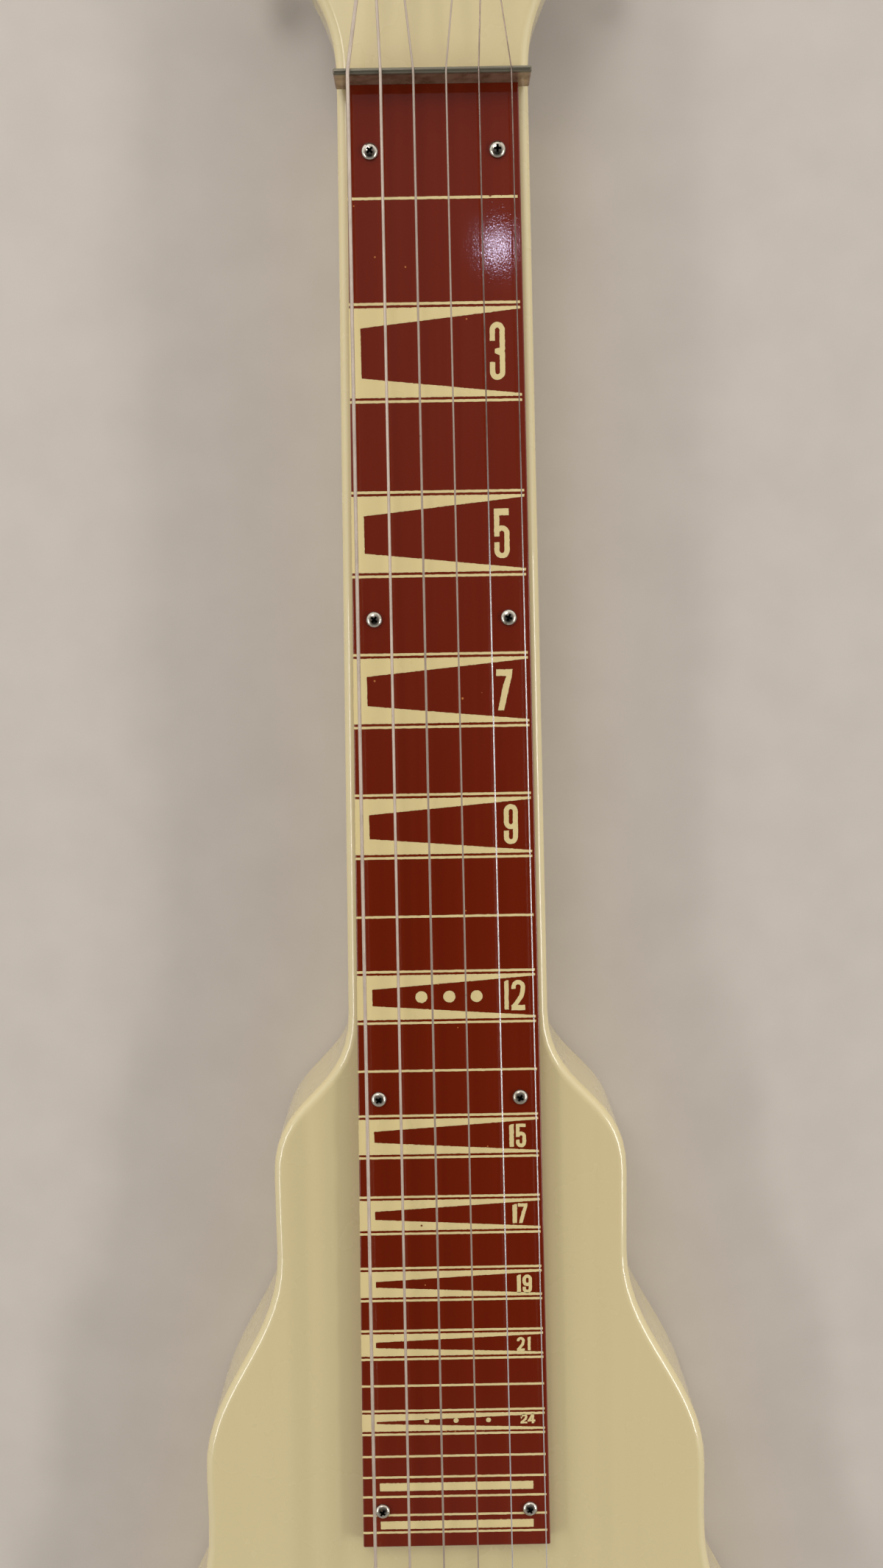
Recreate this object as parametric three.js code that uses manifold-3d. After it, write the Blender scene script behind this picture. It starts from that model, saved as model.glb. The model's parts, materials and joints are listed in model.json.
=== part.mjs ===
// Six-string lap steel guitar, in millimetres, +Z up.
// The back lies on z = 0, +Y runs along the strings to the headstock, +X is the treble side.
// A place "from the nut" is measured from the nut's face towards the tail, so the headstock's are negative.

import * as THREE from 'three';
import { mergeVertices } from 'three/addons/utils/BufferGeometryUtils.js';
import Module from 'manifold-3d';

const wasm = await Module();
wasm.setup();

// Clearances and helpers for cuts
const seatGap = 0.3;
const runningGap = 0.35;
const overrun = 2;
const weld = 1e-4;

// How many flat sides or steps stand in for what is round
const shaftSides = 8;
const holeSides = 8;
const smallHoleSides = 6;
const hexagon = 6;
const bushingSides = 10;
const buttonSides = 10;
const potSides = 12;
const knobSides = 16;
const socketSides = 20;
const plateSides = 24;
const outlineSteps = 5;
const heelSteps = 4;
const archSteps = 5;
const cornerSteps = 2;
const angleSteps = 6;
const threadSteps = 8;
const wrapSteps = 12;
const stringSides = 5;

// Strings, from the sixth (bass) to the first (treble)
const scaleLength = 571.5;
const stringGauges = [1.17, 0.91, 0.71, 0.56, 0.43, 0.36];
const spreadAtNut = 47.4;
const spreadAtBridge = 59;
const nutShift = -0.8;
const bridgeShift = 1.7;
const ballRadius = 1.9;
const ballLength = 3.4;
const wrapGap = 0.5;
const wrapTurns = 2.25;

// Fretboard, which ends short of the bridge
const boardEndToBridge = 101.5;
const boardWidthAtNut = 50.8;
const boardWidthAtEnd = 63.8;
const boardThickness = 4.8;
const boardScrewInset = 6.7;
const boardScrewShares = [0.04, 0.333, 0.662, 0.971];
const screwHeadRadius = 2.5;
const screwHeadHeight = 1.5;
const screwShoulderShares = { radius: 0.92, height: 0.71 };
const screwCrownShare = 0.38;
const screwShankRadius = 1.3;
const screwLength = 16;
const crossWidth = 0.7;
const crossSpan = 2.6;
const crossDepth = 0.9;

// Body: a slab with three steps on each side
// Places on the wide part are measured from the bridge, and those past it are positive
const bodyDepth = 40;
const edgeRound = 3.2;
const neckMargin = 3.4;
const firstStep = { start: -287.5, end: -231.5, halfWidth: 58.9, easeShare: 0.52 };
const secondStep = { start: -203.5, end: -125.5, halfWidth: 85.8, easeShare: 0.39 };
const thirdStep = { start: -107.5, end: -15.5, halfWidth: 110, easeShare: 0.5 };
const tailMargin = 80.5;
const tailCorner = 34;
const roundShare = 0.5523;

// Headstock
const headLength = 150;
const headHalfWidth = 40;
const headThickness = 17;
const flareStart = 5;
const flareEnd = 52;
const crestStart = 116;
const crestEnd = 141;
const crestHalfWidth = 26;
const headEaseShare = 0.5;
const heelStart = 2;
const heelLength = 24;

// Nut and bridge: bent angles with a slot for each string
const nutHeight = 7.6;
const angleThickness = 1.8;
const nutFoot = 3.9;
const footThickness = 2;
const slotDepth = 0.6;
const bridgeFoot = 13;
const bridgeLift = 3.4;
const bridgeOverhang = 5;

// Tailpiece
const tailFromBridge = 34;
const tailLength = 11;
const tailHeight = 11;
const tailOverhang = 6;
const tailFoot = 9;

// Tuners
const firstPost = 45;
const postPitch = 35;
const postOffset = 20;
const postRadius = 3.1;
const postWaist = 2.5;
const postShoulder = 2.2;
const waistLength = 8;
const postCap = 3;
const postTaper = 0.6;
const postHole = 0.8;
const bushingFlange = 5.6;
const bushingFlangeHeight = 1.2;
const bushingBarrel = 4.5;
const bushingLength = 8;
const gearTeeth = 14;
const gearHeight = 2.4;
const gearAddendum = 0.5;
const gearDedendum = 0.65;
const toothTip = 0.45;
const toothRoot = 0.95;
const gearScrewRadius = 2.6;
const gearScrewHeight = 1.3;
const wormLead = 2;
const wormPitchRadius = 2.5;
const wormAddendum = 0.5;
const wormDedendum = 0.7;
const threadTip = 0.4;
const threadRoot = 0.9;
const wormTurns = 2.6;
const wormCollar = 0.3;
const meshPlay = 0.1;
const shaftRadius = 1.6;
const shaftEnd = 0.9;
const earThickness = 1.6;
const earHalfWidth = 3;
const plateThickness = 1.2;
const plateHalfWidth = 7;
const plateMargin = 13;
const buttonGap = 2.8;
const buttonLength = 14;
const buttonRadius = 8;
const buttonThickness = 8.4;
const buttonNeck = 3.4;
const buttonGrip = 9;
const buttonNeckShare = 1 / 7;
const buttonCollarShare = 1 / 4;
const buttonProfileShares = [[0.8, 1 / 3], [1, 5 / 8], [0.6, 13 / 14]];

// Pickup
const pickupToBridge = 49.5;
const coverLength = 78;
const coverWidth = 25;
const coverHeight = 11;
const coverWall = 1.2;
const coverCorner = 4;
const coverLug = 9;
const lugThickness = 1.4;
const coilLength = 68;
const coilWidth = 16;
const coilHeight = 14;
const coilFlange = 1.6;
const coilWaist = 1.5;
const poleLength = 58;
const poleThickness = 3;
const poleLift = 0.9;
const magnetHeight = 6;

// Hand rest: a bent metal arch over the bridge
const restInnerHalf = 37.5;
const restWidth = 44;
const restHeight = 27;
const restWall = 1.6;
const restBend = 9;
const restFoot = 11;
const restBeforeBridge = 22.5;
const ribDepth = 0.9;
const ribWidth = 2.4;
const ribPitch = 6.5;
const ribCount = 5;

// Controls on the treble side, measured from its wall and from the bridge
const volumePlace = { fromSide: 28, fromBridge: -35.5 };
const tonePlace = { fromSide: 24, fromBridge: 16.5 };
const knobRadius = 12;
const knobHeight = 15;
const knobTopRadius = 10;
const knobSkirt = 3.5;
const knobCrown = 2.4;
const fluteCount = 12;
const fluteDepth = 0.7;
const knobLift = 0.7;
const potRadius = 11;
const potHeight = 9;
const potThread = 4.4;
const potThreadAbove = 3.4;
const potNutRadius = 6.4;
const potNutHeight = 2.2;
const potFloor = 1.2;
const potShaftRadius = 3;
const deckThickness = 7;
const cavityWidth = 37;
const cavityWall = 11;
const cavityStart = -55.5;
const cavityEnd = 56.5;
const cavityCorner = 8;
const coverLedge = 5;
const controlCoverThickness = 2;
const coverRecess = 0.6;
const capacitorRadius = 3;
const capacitorLength = 14;
const channelRadius = 4;

// Output socket in the treble side
const jackFromBridge = 36.5;
const jackBore = 3.3;
const jackThread = 4.9;
const jackCup = 12;
const jackCupDepth = 5;
const jackPlateThickness = 1.4;
const jackNutRadius = 6.6;
const jackNutHeight = 2;
const jackLength = 27;
const jackBlock = 14;
const jackBlockLength = 12;

// Levels and places that follow from the sizes above
const boardLength = scaleLength - boardEndToBridge;
const middle = (scaleLength + tailMargin - headLength) / 2;
const along = (fromNut) => middle - fromNut;
const pastBridge = (distance) => along(scaleLength + distance);
const boardTop = bodyDepth + boardThickness;
const nutTop = boardTop + nutHeight;
const nutMiddle = along(-angleThickness / 2);
const bridgeTop = nutTop + bridgeLift;
const headBottom = bodyDepth - headThickness;
const plateBottom = headBottom - plateThickness;
const wormOuter = wormPitchRadius + wormAddendum;
const wormCore = wormPitchRadius - wormDedendum;
const wormLevel = plateBottom - wormOuter - runningGap;
const gearPitchRadius = (gearTeeth * wormLead) / (2 * Math.PI);
const gearTipRadius = gearPitchRadius + gearAddendum;
const gearRootRadius = gearPitchRadius - gearDedendum;
const centreDistance = gearPitchRadius + wormPitchRadius + meshPlay;
const wormLength = wormTurns * wormLead;
const wormReach = wormLength / 2 + threadRoot / 2 + wormCollar;
const earInner = wormReach + runningGap;
const bushingTop = bodyDepth + bushingFlangeHeight;
const waistBottom = bushingTop + postShoulder;
const waistTop = waistBottom + waistLength;
const postTop = waistTop + postCap;
const wrapStart = waistTop - wrapGap - stringGauges[0];
const stringCount = stringGauges.length;
const postCount = stringCount / 2;
const deckUnderside = bodyDepth - deckThickness;
const headX = (side) => nutShift + side * postOffset;
const boardHalf = (fromNut) =>
  (boardWidthAtNut + ((boardWidthAtEnd - boardWidthAtNut) * fromNut) / boardLength) / 2;

// Booleans

function toSolid(geometry) {
  const bare = geometry.clone();
  bare.deleteAttribute('normal');
  bare.deleteAttribute('uv');
  const merged = mergeVertices(bare, weld);
  return new wasm.Manifold(new wasm.Mesh({
    numProp: 3,
    vertProperties: new Float32Array(merged.attributes.position.array),
    triVerts: new Uint32Array(merged.index.array),
  }));
}

function toGeometry(solid) {
  const mesh = solid.getMesh();
  const geometry = new THREE.BufferGeometry();
  geometry.setAttribute('position', new THREE.BufferAttribute(mesh.vertProperties, 3));
  geometry.setIndex(new THREE.BufferAttribute(mesh.triVerts, 1));
  geometry.computeVertexNormals();
  return geometry;
}

function cut(geometry, tools) {
  return toGeometry(tools.reduce((rest, tool) => rest.subtract(toSolid(tool)), toSolid(geometry)));
}

function join(geometries) {
  const [first, ...others] = geometries.map(toSolid);
  return toGeometry(others.reduce((whole, other) => whole.add(other), first));
}

// Simple solids, each given by where it lies

function box(xRange, yRange, zRange) {
  const [size, centre] = [new THREE.Vector3(), new THREE.Vector3()];
  const corners = new THREE.Box3(
    new THREE.Vector3(xRange[0], yRange[0], zRange[0]),
    new THREE.Vector3(xRange[1], yRange[1], zRange[1]),
  );
  corners.getSize(size);
  corners.getCenter(centre);
  return new THREE.BoxGeometry(size.x, size.y, size.z).translate(centre.x, centre.y, centre.z);
}

// A solid of revolution about an upright axis; the profile is a list of [radius, level]
function turned(profile, segments, x = 0, y = 0) {
  const points = profile.map(([radius, level]) => new THREE.Vector2(radius, level));
  return new THREE.LatheGeometry(points, segments).rotateX(Math.PI / 2).translate(x, y, 0);
}

function upright(radius, x, y, zRange, segments = shaftSides) {
  const [low, high] = zRange;
  return turned([[0, low], [radius, low], [radius, high], [0, high]], segments, x, y);
}

function lyingAlongX(radius, xRange, y, z, segments = shaftSides) {
  const length = xRange[1] - xRange[0];
  return new THREE.CylinderGeometry(radius, radius, length, segments)
    .rotateZ(Math.PI / 2)
    .translate(xRange[0] + length / 2, y, z);
}

function lyingAlongY(radius, yRange, x, z, segments = shaftSides) {
  const length = yRange[1] - yRange[0];
  return new THREE.CylinderGeometry(radius, radius, length, segments)
    .translate(x, yRange[0] + length / 2, z);
}

// Cutters whose flat sides stand outside the circle of their radius, so that a round piece clears them

function circumscribed(radius, segments) {
  return radius / Math.cos(Math.PI / segments);
}

function uprightHole(radius, x, y, zRange, segments = holeSides) {
  return upright(circumscribed(radius, segments), x, y, zRange, segments);
}

function holeAlongX(radius, xRange, y, z, segments = holeSides) {
  return lyingAlongX(circumscribed(radius, segments), xRange, y, z, segments);
}

function holeAlongY(radius, yRange, x, z, segments = holeSides) {
  return lyingAlongY(circumscribed(radius, segments), yRange, x, z, segments);
}

function roundedRectangle(halfX, halfY, corner) {
  const shape = new THREE.Shape();
  shape.moveTo(halfX - corner, -halfY);
  shape.absarc(halfX - corner, -halfY + corner, corner, -Math.PI / 2, 0);
  shape.absarc(halfX - corner, halfY - corner, corner, 0, Math.PI / 2);
  shape.absarc(-halfX + corner, halfY - corner, corner, Math.PI / 2, Math.PI);
  shape.absarc(-halfX + corner, -halfY + corner, corner, Math.PI, (3 * Math.PI) / 2);
  return shape;
}

function roundedBlock(xRange, yRange, zRange, corner) {
  const halfX = (xRange[1] - xRange[0]) / 2;
  const halfY = (yRange[1] - yRange[0]) / 2;
  const shape = roundedRectangle(halfX, halfY, corner);
  const depth = zRange[1] - zRange[0];
  return new THREE.ExtrudeGeometry(shape, { depth, bevelEnabled: false, curveSegments: cornerSteps })
    .translate(xRange[0] + halfX, yRange[0] + halfY, zRange[0]);
}

// A profile in the plane of Y and Z, drawn out along X
function drawnAlongX(points, xRange) {
  const shape = new THREE.Shape(points.map(([y, z]) => new THREE.Vector2(y, z)));
  const depth = xRange[1] - xRange[0];
  return new THREE.ExtrudeGeometry(shape, { depth, bevelEnabled: false })
    .applyMatrix4(new THREE.Matrix4().makeBasis(
      new THREE.Vector3(0, 1, 0),
      new THREE.Vector3(0, 0, 1),
      new THREE.Vector3(1, 0, 0),
    ))
    .translate(xRange[0], 0, 0);
}

// A closed tube through rings of points; each ring has as many points as the next
function skinned(rings) {
  const sides = rings[0].length;
  const positions = rings.flat().flatMap((p) => [p.x, p.y, p.z]);
  const faces = [];
  for (let i = 0; i + 1 < rings.length; i += 1) {
    for (let j = 0; j < sides; j += 1) {
      const a = i * sides + j;
      const b = i * sides + ((j + 1) % sides);
      faces.push(a, b, b + sides, a, b + sides, a + sides);
    }
  }
  const last = (rings.length - 1) * sides;
  for (let j = 1; j + 1 < sides; j += 1) {
    faces.push(0, j + 1, j);
    faces.push(last, last + j, last + j + 1);
  }
  const geometry = new THREE.BufferGeometry();
  geometry.setAttribute('position', new THREE.Float32BufferAttribute(positions, 3));
  geometry.setIndex(faces);
  geometry.computeVertexNormals();
  return geometry;
}

// A round tube along a list of {point, radius}, with rings that turn as little as they can
function tube(stations, sides) {
  const points = stations.map((station) => station.point);
  const heading = (i) => points[Math.min(i + 1, points.length - 1)].clone()
    .sub(points[Math.max(i - 1, 0)]).normalize();
  let side = new THREE.Vector3(1, 0, 0);
  const rings = stations.map(({ point, radius }, i) => {
    const direction = heading(i);
    side = side.clone().addScaledVector(direction, -side.dot(direction)).normalize();
    const up = direction.clone().cross(side);
    return Array.from({ length: sides }, (_, j) => {
      const angle = (2 * Math.PI * j) / sides;
      return point.clone()
        .addScaledVector(side, radius * Math.cos(angle))
        .addScaledVector(up, radius * Math.sin(angle));
    });
  });
  return skinned(rings);
}

// Scene graph

const guitar = new THREE.Group();

const finishes = {
  lacquer: { color: 0xcdbb8b, roughness: 0.25, metalness: 0 },
  maroonPlastic: { color: 0x6a1a17, roughness: 0.2, metalness: 0 },
  nickel: { color: 0xb9b4a6, roughness: 0.3, metalness: 1 },
  steel: { color: 0xa8a8a6, roughness: 0.4, metalness: 1 },
  brass: { color: 0xb08d4a, roughness: 0.4, metalness: 1 },
  ivoryPlastic: { color: 0xe6d9b4, roughness: 0.3, metalness: 0 },
  blackPlastic: { color: 0x161514, roughness: 0.5, metalness: 0 },
  magnetGrey: { color: 0x4a4846, roughness: 0.6, metalness: 0.4 },
  capacitorBrown: { color: 0x7b4a22, roughness: 0.4, metalness: 0 },
};

function add(name, geometry, finish, group = guitar) {
  const mesh = new THREE.Mesh(geometry, new THREE.MeshStandardMaterial(finishes[finish]));
  mesh.name = name;
  group.add(mesh);
  return mesh;
}

// Body

// One edge of the outline from the tail's middle to the headstock's tip; side is 1 or -1
function sideEdge(side) {
  const edge = new THREE.Path();
  const at = (halfWidth, fromNut, shift = 0) => [side * halfWidth + shift, along(fromNut)];
  const atBridge = (halfWidth, distance) => at(halfWidth, scaleLength + distance);
  const easeTo = (wide, start, narrow, end, share, shift = 0) => {
    const reach = (start - end) * share;
    edge.bezierCurveTo(
      ...at(wide, start - reach),
      ...at(narrow, end + reach, shift),
      ...at(narrow, end, shift),
    );
  };
  const neckEnd = boardHalf(scaleLength + firstStep.start) + neckMargin;
  const neckStart = boardHalf(0) + neckMargin;
  const hold = tailCorner * (1 - roundShare);
  edge.moveTo(...atBridge(0, tailMargin));
  edge.lineTo(...atBridge(thirdStep.halfWidth - tailCorner, tailMargin));
  edge.bezierCurveTo(
    ...atBridge(thirdStep.halfWidth - hold, tailMargin),
    ...atBridge(thirdStep.halfWidth, tailMargin - hold),
    ...atBridge(thirdStep.halfWidth, tailMargin - tailCorner),
  );
  [[thirdStep, secondStep.halfWidth], [secondStep, firstStep.halfWidth], [firstStep, neckEnd]]
    .forEach(([step, narrow]) => {
      edge.lineTo(...atBridge(step.halfWidth, step.end));
      easeTo(step.halfWidth, scaleLength + step.end, narrow, scaleLength + step.start, step.easeShare);
    });
  edge.lineTo(...at(neckStart, 0));
  edge.lineTo(...at(neckStart, -flareStart));
  easeTo(neckStart, -flareStart, headHalfWidth, -flareEnd, headEaseShare, nutShift);
  edge.lineTo(...at(headHalfWidth, -crestStart, nutShift));
  edge.bezierCurveTo(
    ...at(headHalfWidth, -crestStart - (crestEnd - crestStart) * headEaseShare, nutShift),
    ...at(crestHalfWidth, -crestEnd + (crestEnd - crestStart) * headEaseShare, nutShift),
    ...at(crestHalfWidth, -crestEnd, nutShift),
  );
  edge.bezierCurveTo(
    ...at(crestHalfWidth, -crestEnd - (headLength - crestEnd) * roundShare, nutShift),
    ...at(crestHalfWidth * roundShare, -headLength, nutShift),
    ...at(0, -headLength, nutShift),
  );
  return edge.getPoints(outlineSteps);
}

// The cutter that thins the headstock from below, with a curved heel
function headstockRelief() {
  const heel = new THREE.Path();
  heel.moveTo(along(-heelStart), -overrun);
  heel.lineTo(along(-heelStart), 0);
  heel.bezierCurveTo(
    along(-heelStart), headBottom * roundShare,
    along(-heelStart - heelLength * (1 - roundShare)), headBottom,
    along(-heelStart - heelLength), headBottom,
  );
  heel.lineTo(along(-headLength - overrun), headBottom);
  heel.lineTo(along(-headLength - overrun), -overrun);
  const reach = headHalfWidth + overrun;
  return drawnAlongX(heel.getPoints(heelSteps).map((p) => [p.x, p.y]), [-reach, reach]);
}

const postPlaces = [];
for (let i = 0; i < stringCount; i += 1) {
  const side = i < postCount ? -1 : 1;
  const step = side < 0 ? i : stringCount - 1 - i;
  postPlaces.push({ side, x: headX(side), y: along(-firstPost - step * postPitch) });
}

const boardScrews = boardScrewShares.flatMap((share) => [-1, 1].map((side) => {
  const fromNut = boardLength * share;
  return { x: side * (boardHalf(fromNut) - boardScrewInset), y: along(fromNut) };
}));

const sideWall = thirdStep.halfWidth;
const pots = [volumePlace, tonePlace].map(({ fromSide, fromBridge }) => (
  { x: sideWall - fromSide, y: pastBridge(fromBridge) }
));
const routHalfX = coverLength / 2 - coverWall - seatGap;
const routHalfY = coverWidth / 2 - coverWall - seatGap;
const coilBottom = bodyDepth + coverHeight - coverWall - seatGap - coilHeight;
const magnetTop = coilBottom - seatGap;
const magnetBottom = magnetTop - magnetHeight;
const routFloor = magnetBottom - seatGap;
const pickupX = nutShift + (bridgeShift - nutShift) * (1 - pickupToBridge / scaleLength);
const pickupY = pastBridge(-pickupToBridge);
const cavityX = [sideWall - cavityWall - cavityWidth, sideWall - cavityWall];
const cavityY = [pastBridge(cavityEnd), pastBridge(cavityStart)];
const coverDepth = coverRecess + controlCoverThickness;
const jackY = pastBridge(jackFromBridge);
const jackZ = coverDepth + (deckUnderside - coverDepth) / 2;

function bodyCuts() {
  const cuts = [headstockRelief()];
  postPlaces.forEach(({ x, y }) => {
    const bottom = bodyDepth - bushingLength - seatGap;
    cuts.push(uprightHole(bushingBarrel + seatGap, x, y, [bottom, bodyDepth + overrun]));
    cuts.push(uprightHole(postRadius + runningGap, x, y, [headBottom - overrun, bodyDepth + overrun]));
  });
  boardScrews.forEach(({ x, y }) => {
    const bottom = boardTop - screwLength - seatGap;
    cuts.push(uprightHole(screwShankRadius + seatGap, x, y, [bottom, bodyDepth + overrun]));
  });
  cuts.push(roundedBlock(
    [pickupX - routHalfX, pickupX + routHalfX],
    [pickupY - routHalfY, pickupY + routHalfY],
    [routFloor, bodyDepth + overrun],
    coverCorner - coverWall,
  ));
  cuts.push(roundedBlock(cavityX, cavityY, [-overrun, deckUnderside], cavityCorner));
  cuts.push(roundedBlock(
    cavityX.map((x, i) => x + (i ? coverLedge : -coverLedge)),
    cavityY.map((y, i) => y + (i ? coverLedge : -coverLedge)),
    [-overrun, coverDepth],
    cavityCorner + coverLedge,
  ));
  pots.forEach(({ x, y }) => {
    cuts.push(uprightHole(potThread + seatGap, x, y, [deckUnderside - overrun, bodyDepth + overrun]));
  });
  const channelLevel = routFloor + channelRadius;
  const channelX = [pickupX + routHalfX - overrun, cavityX[0] + overrun];
  cuts.push(holeAlongX(channelRadius, channelX, cavityY[1] - cavityCorner, channelLevel));
  const cupDeep = [sideWall - jackCupDepth, sideWall + overrun];
  cuts.push(holeAlongX(jackCup, cupDeep, jackY, jackZ, socketSides));
  cuts.push(holeAlongX(jackThread + seatGap, [cavityX[1] - overrun, sideWall], jackY, jackZ));
  return cuts;
}

function body() {
  const right = sideEdge(1);
  const left = sideEdge(-1).reverse();
  const outline = new THREE.Shape([...right, ...left.slice(1, -1)]);
  const slab = new THREE.ExtrudeGeometry(outline, {
    depth: bodyDepth - 2 * edgeRound,
    bevelThickness: edgeRound,
    bevelSize: edgeRound,
    bevelOffset: -edgeRound,
    bevelSegments: 2,
    steps: 1,
  }).translate(0, 0, edgeRound);
  return cut(slab, bodyCuts());
}

// Fretboard and its screws

function fretboard() {
  const start = along(seatGap);
  const end = along(boardLength);
  const [nutHalf, endHalf] = [boardHalf(0), boardHalf(boardLength)];
  const outline = new THREE.Shape([
    new THREE.Vector2(-endHalf, end),
    new THREE.Vector2(endHalf, end),
    new THREE.Vector2(nutHalf, start),
    new THREE.Vector2(-nutHalf, start),
  ]);
  const plate = new THREE.ExtrudeGeometry(outline, { depth: boardThickness, bevelEnabled: false })
    .translate(0, 0, bodyDepth);
  const through = [bodyDepth - overrun, boardTop + overrun];
  return cut(plate, boardScrews.map(({ x, y }) => (
    uprightHole(screwShankRadius + seatGap, x, y, through)
  )));
}

function boardScrew({ x, y }) {
  const bottom = boardTop - screwLength;
  const headTop = boardTop + screwHeadHeight;
  const screw = turned([
    [0, bottom],
    [screwShankRadius, bottom + screwShankRadius],
    [screwShankRadius, boardTop],
    [screwHeadRadius, boardTop],
    [screwHeadRadius * screwShoulderShares.radius, boardTop + screwHeadHeight * screwShoulderShares.height],
    [screwHeadRadius * screwCrownShare, headTop],
    [0, headTop],
  ], shaftSides, x, y);
  const arm = (span, width) => box(
    [x - span / 2, x + span / 2],
    [y - width / 2, y + width / 2],
    [headTop - crossDepth, headTop + overrun],
  );
  return cut(screw, [arm(crossSpan, crossWidth), arm(crossWidth, crossSpan)]);
}

// Where each string crosses the nut and the bridge, from the sixth string to the first

function stringX(i, spread, shift) {
  return shift + spread * (i / (stringCount - 1) - 1 / 2);
}

const nutPoints = stringGauges.map((gauge, i) => new THREE.Vector3(
  stringX(i, spreadAtNut, nutShift),
  nutMiddle,
  nutTop - slotDepth + seatGap + gauge / 2,
));

const bridgePoints = stringGauges.map((gauge, i) => new THREE.Vector3(
  stringX(i, spreadAtBridge, bridgeShift),
  along(scaleLength),
  bridgeTop - slotDepth + seatGap + gauge / 2,
));

// A bent angle: an upright with a rounded top edge, and a foot on the body; foot is + towards +Y
function angle(xRange, y, top, foot, points) {
  const half = angleThickness / 2;
  const facing = Math.sign(foot);
  const profile = [
    [y - facing * half, bodyDepth],
    [y + facing * half + foot, bodyDepth],
    [y + facing * half + foot, bodyDepth + footThickness],
    [y + facing * half, bodyDepth + footThickness],
  ];
  for (let k = 0; k <= angleSteps; k += 1) {
    const turn = (Math.PI * k) / angleSteps;
    profile.push([y + facing * half * Math.cos(turn), top - half + half * Math.sin(turn)]);
  }
  const bar = drawnAlongX(facing > 0 ? profile : profile.reverse(), xRange);
  const through = [y - half - overrun, y + half + overrun];
  return cut(bar, points.map((point, i) => (
    holeAlongY(stringGauges[i] / 2 + seatGap, through, point.x, point.z)
  )));
}

function nut() {
  const half = boardHalf(0) + neckMargin;
  return angle([-half, half], nutMiddle, nutTop, nutFoot, nutPoints);
}

function bridge() {
  const half = spreadAtBridge / 2 + bridgeOverhang;
  const xRange = [bridgeShift - half, bridgeShift + half];
  return angle(xRange, along(scaleLength), bridgeTop, -bridgeFoot, bridgePoints);
}

// Tailpiece

const tailFront = pastBridge(tailFromBridge);
const tailBack = tailFront - tailLength;
const tailHoleLevel = bodyDepth + tailHeight / 2;

function tailpiece() {
  const half = spreadAtBridge / 2 + tailOverhang;
  const deep = [tailBack, tailFront];
  const block = box(
    [bridgeShift - half, bridgeShift + half],
    deep,
    [bodyDepth, bodyDepth + tailHeight],
  );
  const foot = roundedBlock(
    [bridgeShift - half - tailFoot, bridgeShift + half + tailFoot],
    deep,
    [bodyDepth, bodyDepth + footThickness],
    tailLength / 2 - seatGap,
  );
  const through = [tailBack - overrun, tailFront + overrun];
  return cut(join([block, foot]), bridgePoints.map((point, i) => (
    holeAlongY(stringGauges[i] / 2 + seatGap, through, point.x, tailHoleLevel)
  )));
}

// Strings

// The turn angle at which a line from a point meets a circle, going round by way (1 or -1)
function tangentAngle(point, centre, radius, way) {
  const away = new THREE.Vector2(point.x - centre.x, point.y - centre.y);
  return away.angle() + way * Math.acos(radius / away.length());
}

function string(i) {
  const radius = stringGauges[i] / 2;
  const post = postPlaces[i];
  const way = -post.side;
  const wrapRadius = postWaist + seatGap + radius;
  const drop = 2 * radius + wrapGap;
  const onPost = (turn, level) => new THREE.Vector3(
    post.x + wrapRadius * Math.cos(turn),
    post.y + wrapRadius * Math.sin(turn),
    level,
  );
  const firstTurn = tangentAngle(nutPoints[i], post, wrapRadius, way);
  const count = wrapTurns * wrapSteps;
  const wraps = [];
  for (let k = 0; k <= count; k += 1) {
    const turns = k / wrapSteps;
    wraps.push(onPost(firstTurn + way * 2 * Math.PI * turns, wrapStart - drop * turns));
  }
  const x = bridgePoints[i].x;
  const behind = (y) => new THREE.Vector3(x, y, tailHoleLevel);
  const ballFront = tailBack - seatGap;
  const stations = [
    { point: behind(ballFront - ballLength), radius: ballRadius / 2 },
    { point: behind(ballFront - ballLength + ballRadius / 2), radius: ballRadius },
    { point: behind(ballFront - ballRadius / 2), radius: ballRadius },
    { point: behind(ballFront), radius: ballRadius / 2 },
    { point: behind(ballFront + seatGap / 2), radius },
    { point: behind(tailFront), radius },
    { point: bridgePoints[i], radius },
    { point: nutPoints[i], radius },
    ...wraps.map((point) => ({ point, radius })),
  ];
  return { geometry: tube(stations, stringSides), wraps, radius };
}

// The least gap between two turns of one winding, measured between points at least half a turn apart
function leastGap(points, radius) {
  let least = Infinity;
  points.forEach((p, a) => {
    points.slice(a + wrapSteps / 2).forEach((q) => {
      least = Math.min(least, p.distanceTo(q) - 2 * radius);
    });
  });
  return least;
}

// Tuners

function gear({ x, y }) {
  const toothStep = (2 * Math.PI) / gearTeeth;
  const outline = [];
  for (let k = 0; k < gearTeeth; k += 1) {
    const middleAngle = Math.PI / 2 + (k + 1 / 2) * toothStep;
    const corner = (radius, offset) => {
      const turn = middleAngle + offset / radius;
      outline.push(new THREE.Vector2(radius * Math.cos(turn), radius * Math.sin(turn)));
    };
    corner(gearRootRadius, -toothRoot / 2);
    corner(gearTipRadius, -toothTip / 2);
    corner(gearTipRadius, toothTip / 2);
    corner(gearRootRadius, toothRoot / 2);
  }
  return new THREE.ExtrudeGeometry(new THREE.Shape(outline), { depth: gearHeight, bevelEnabled: false })
    .translate(x, y, wormLevel - gearHeight / 2);
}

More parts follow.
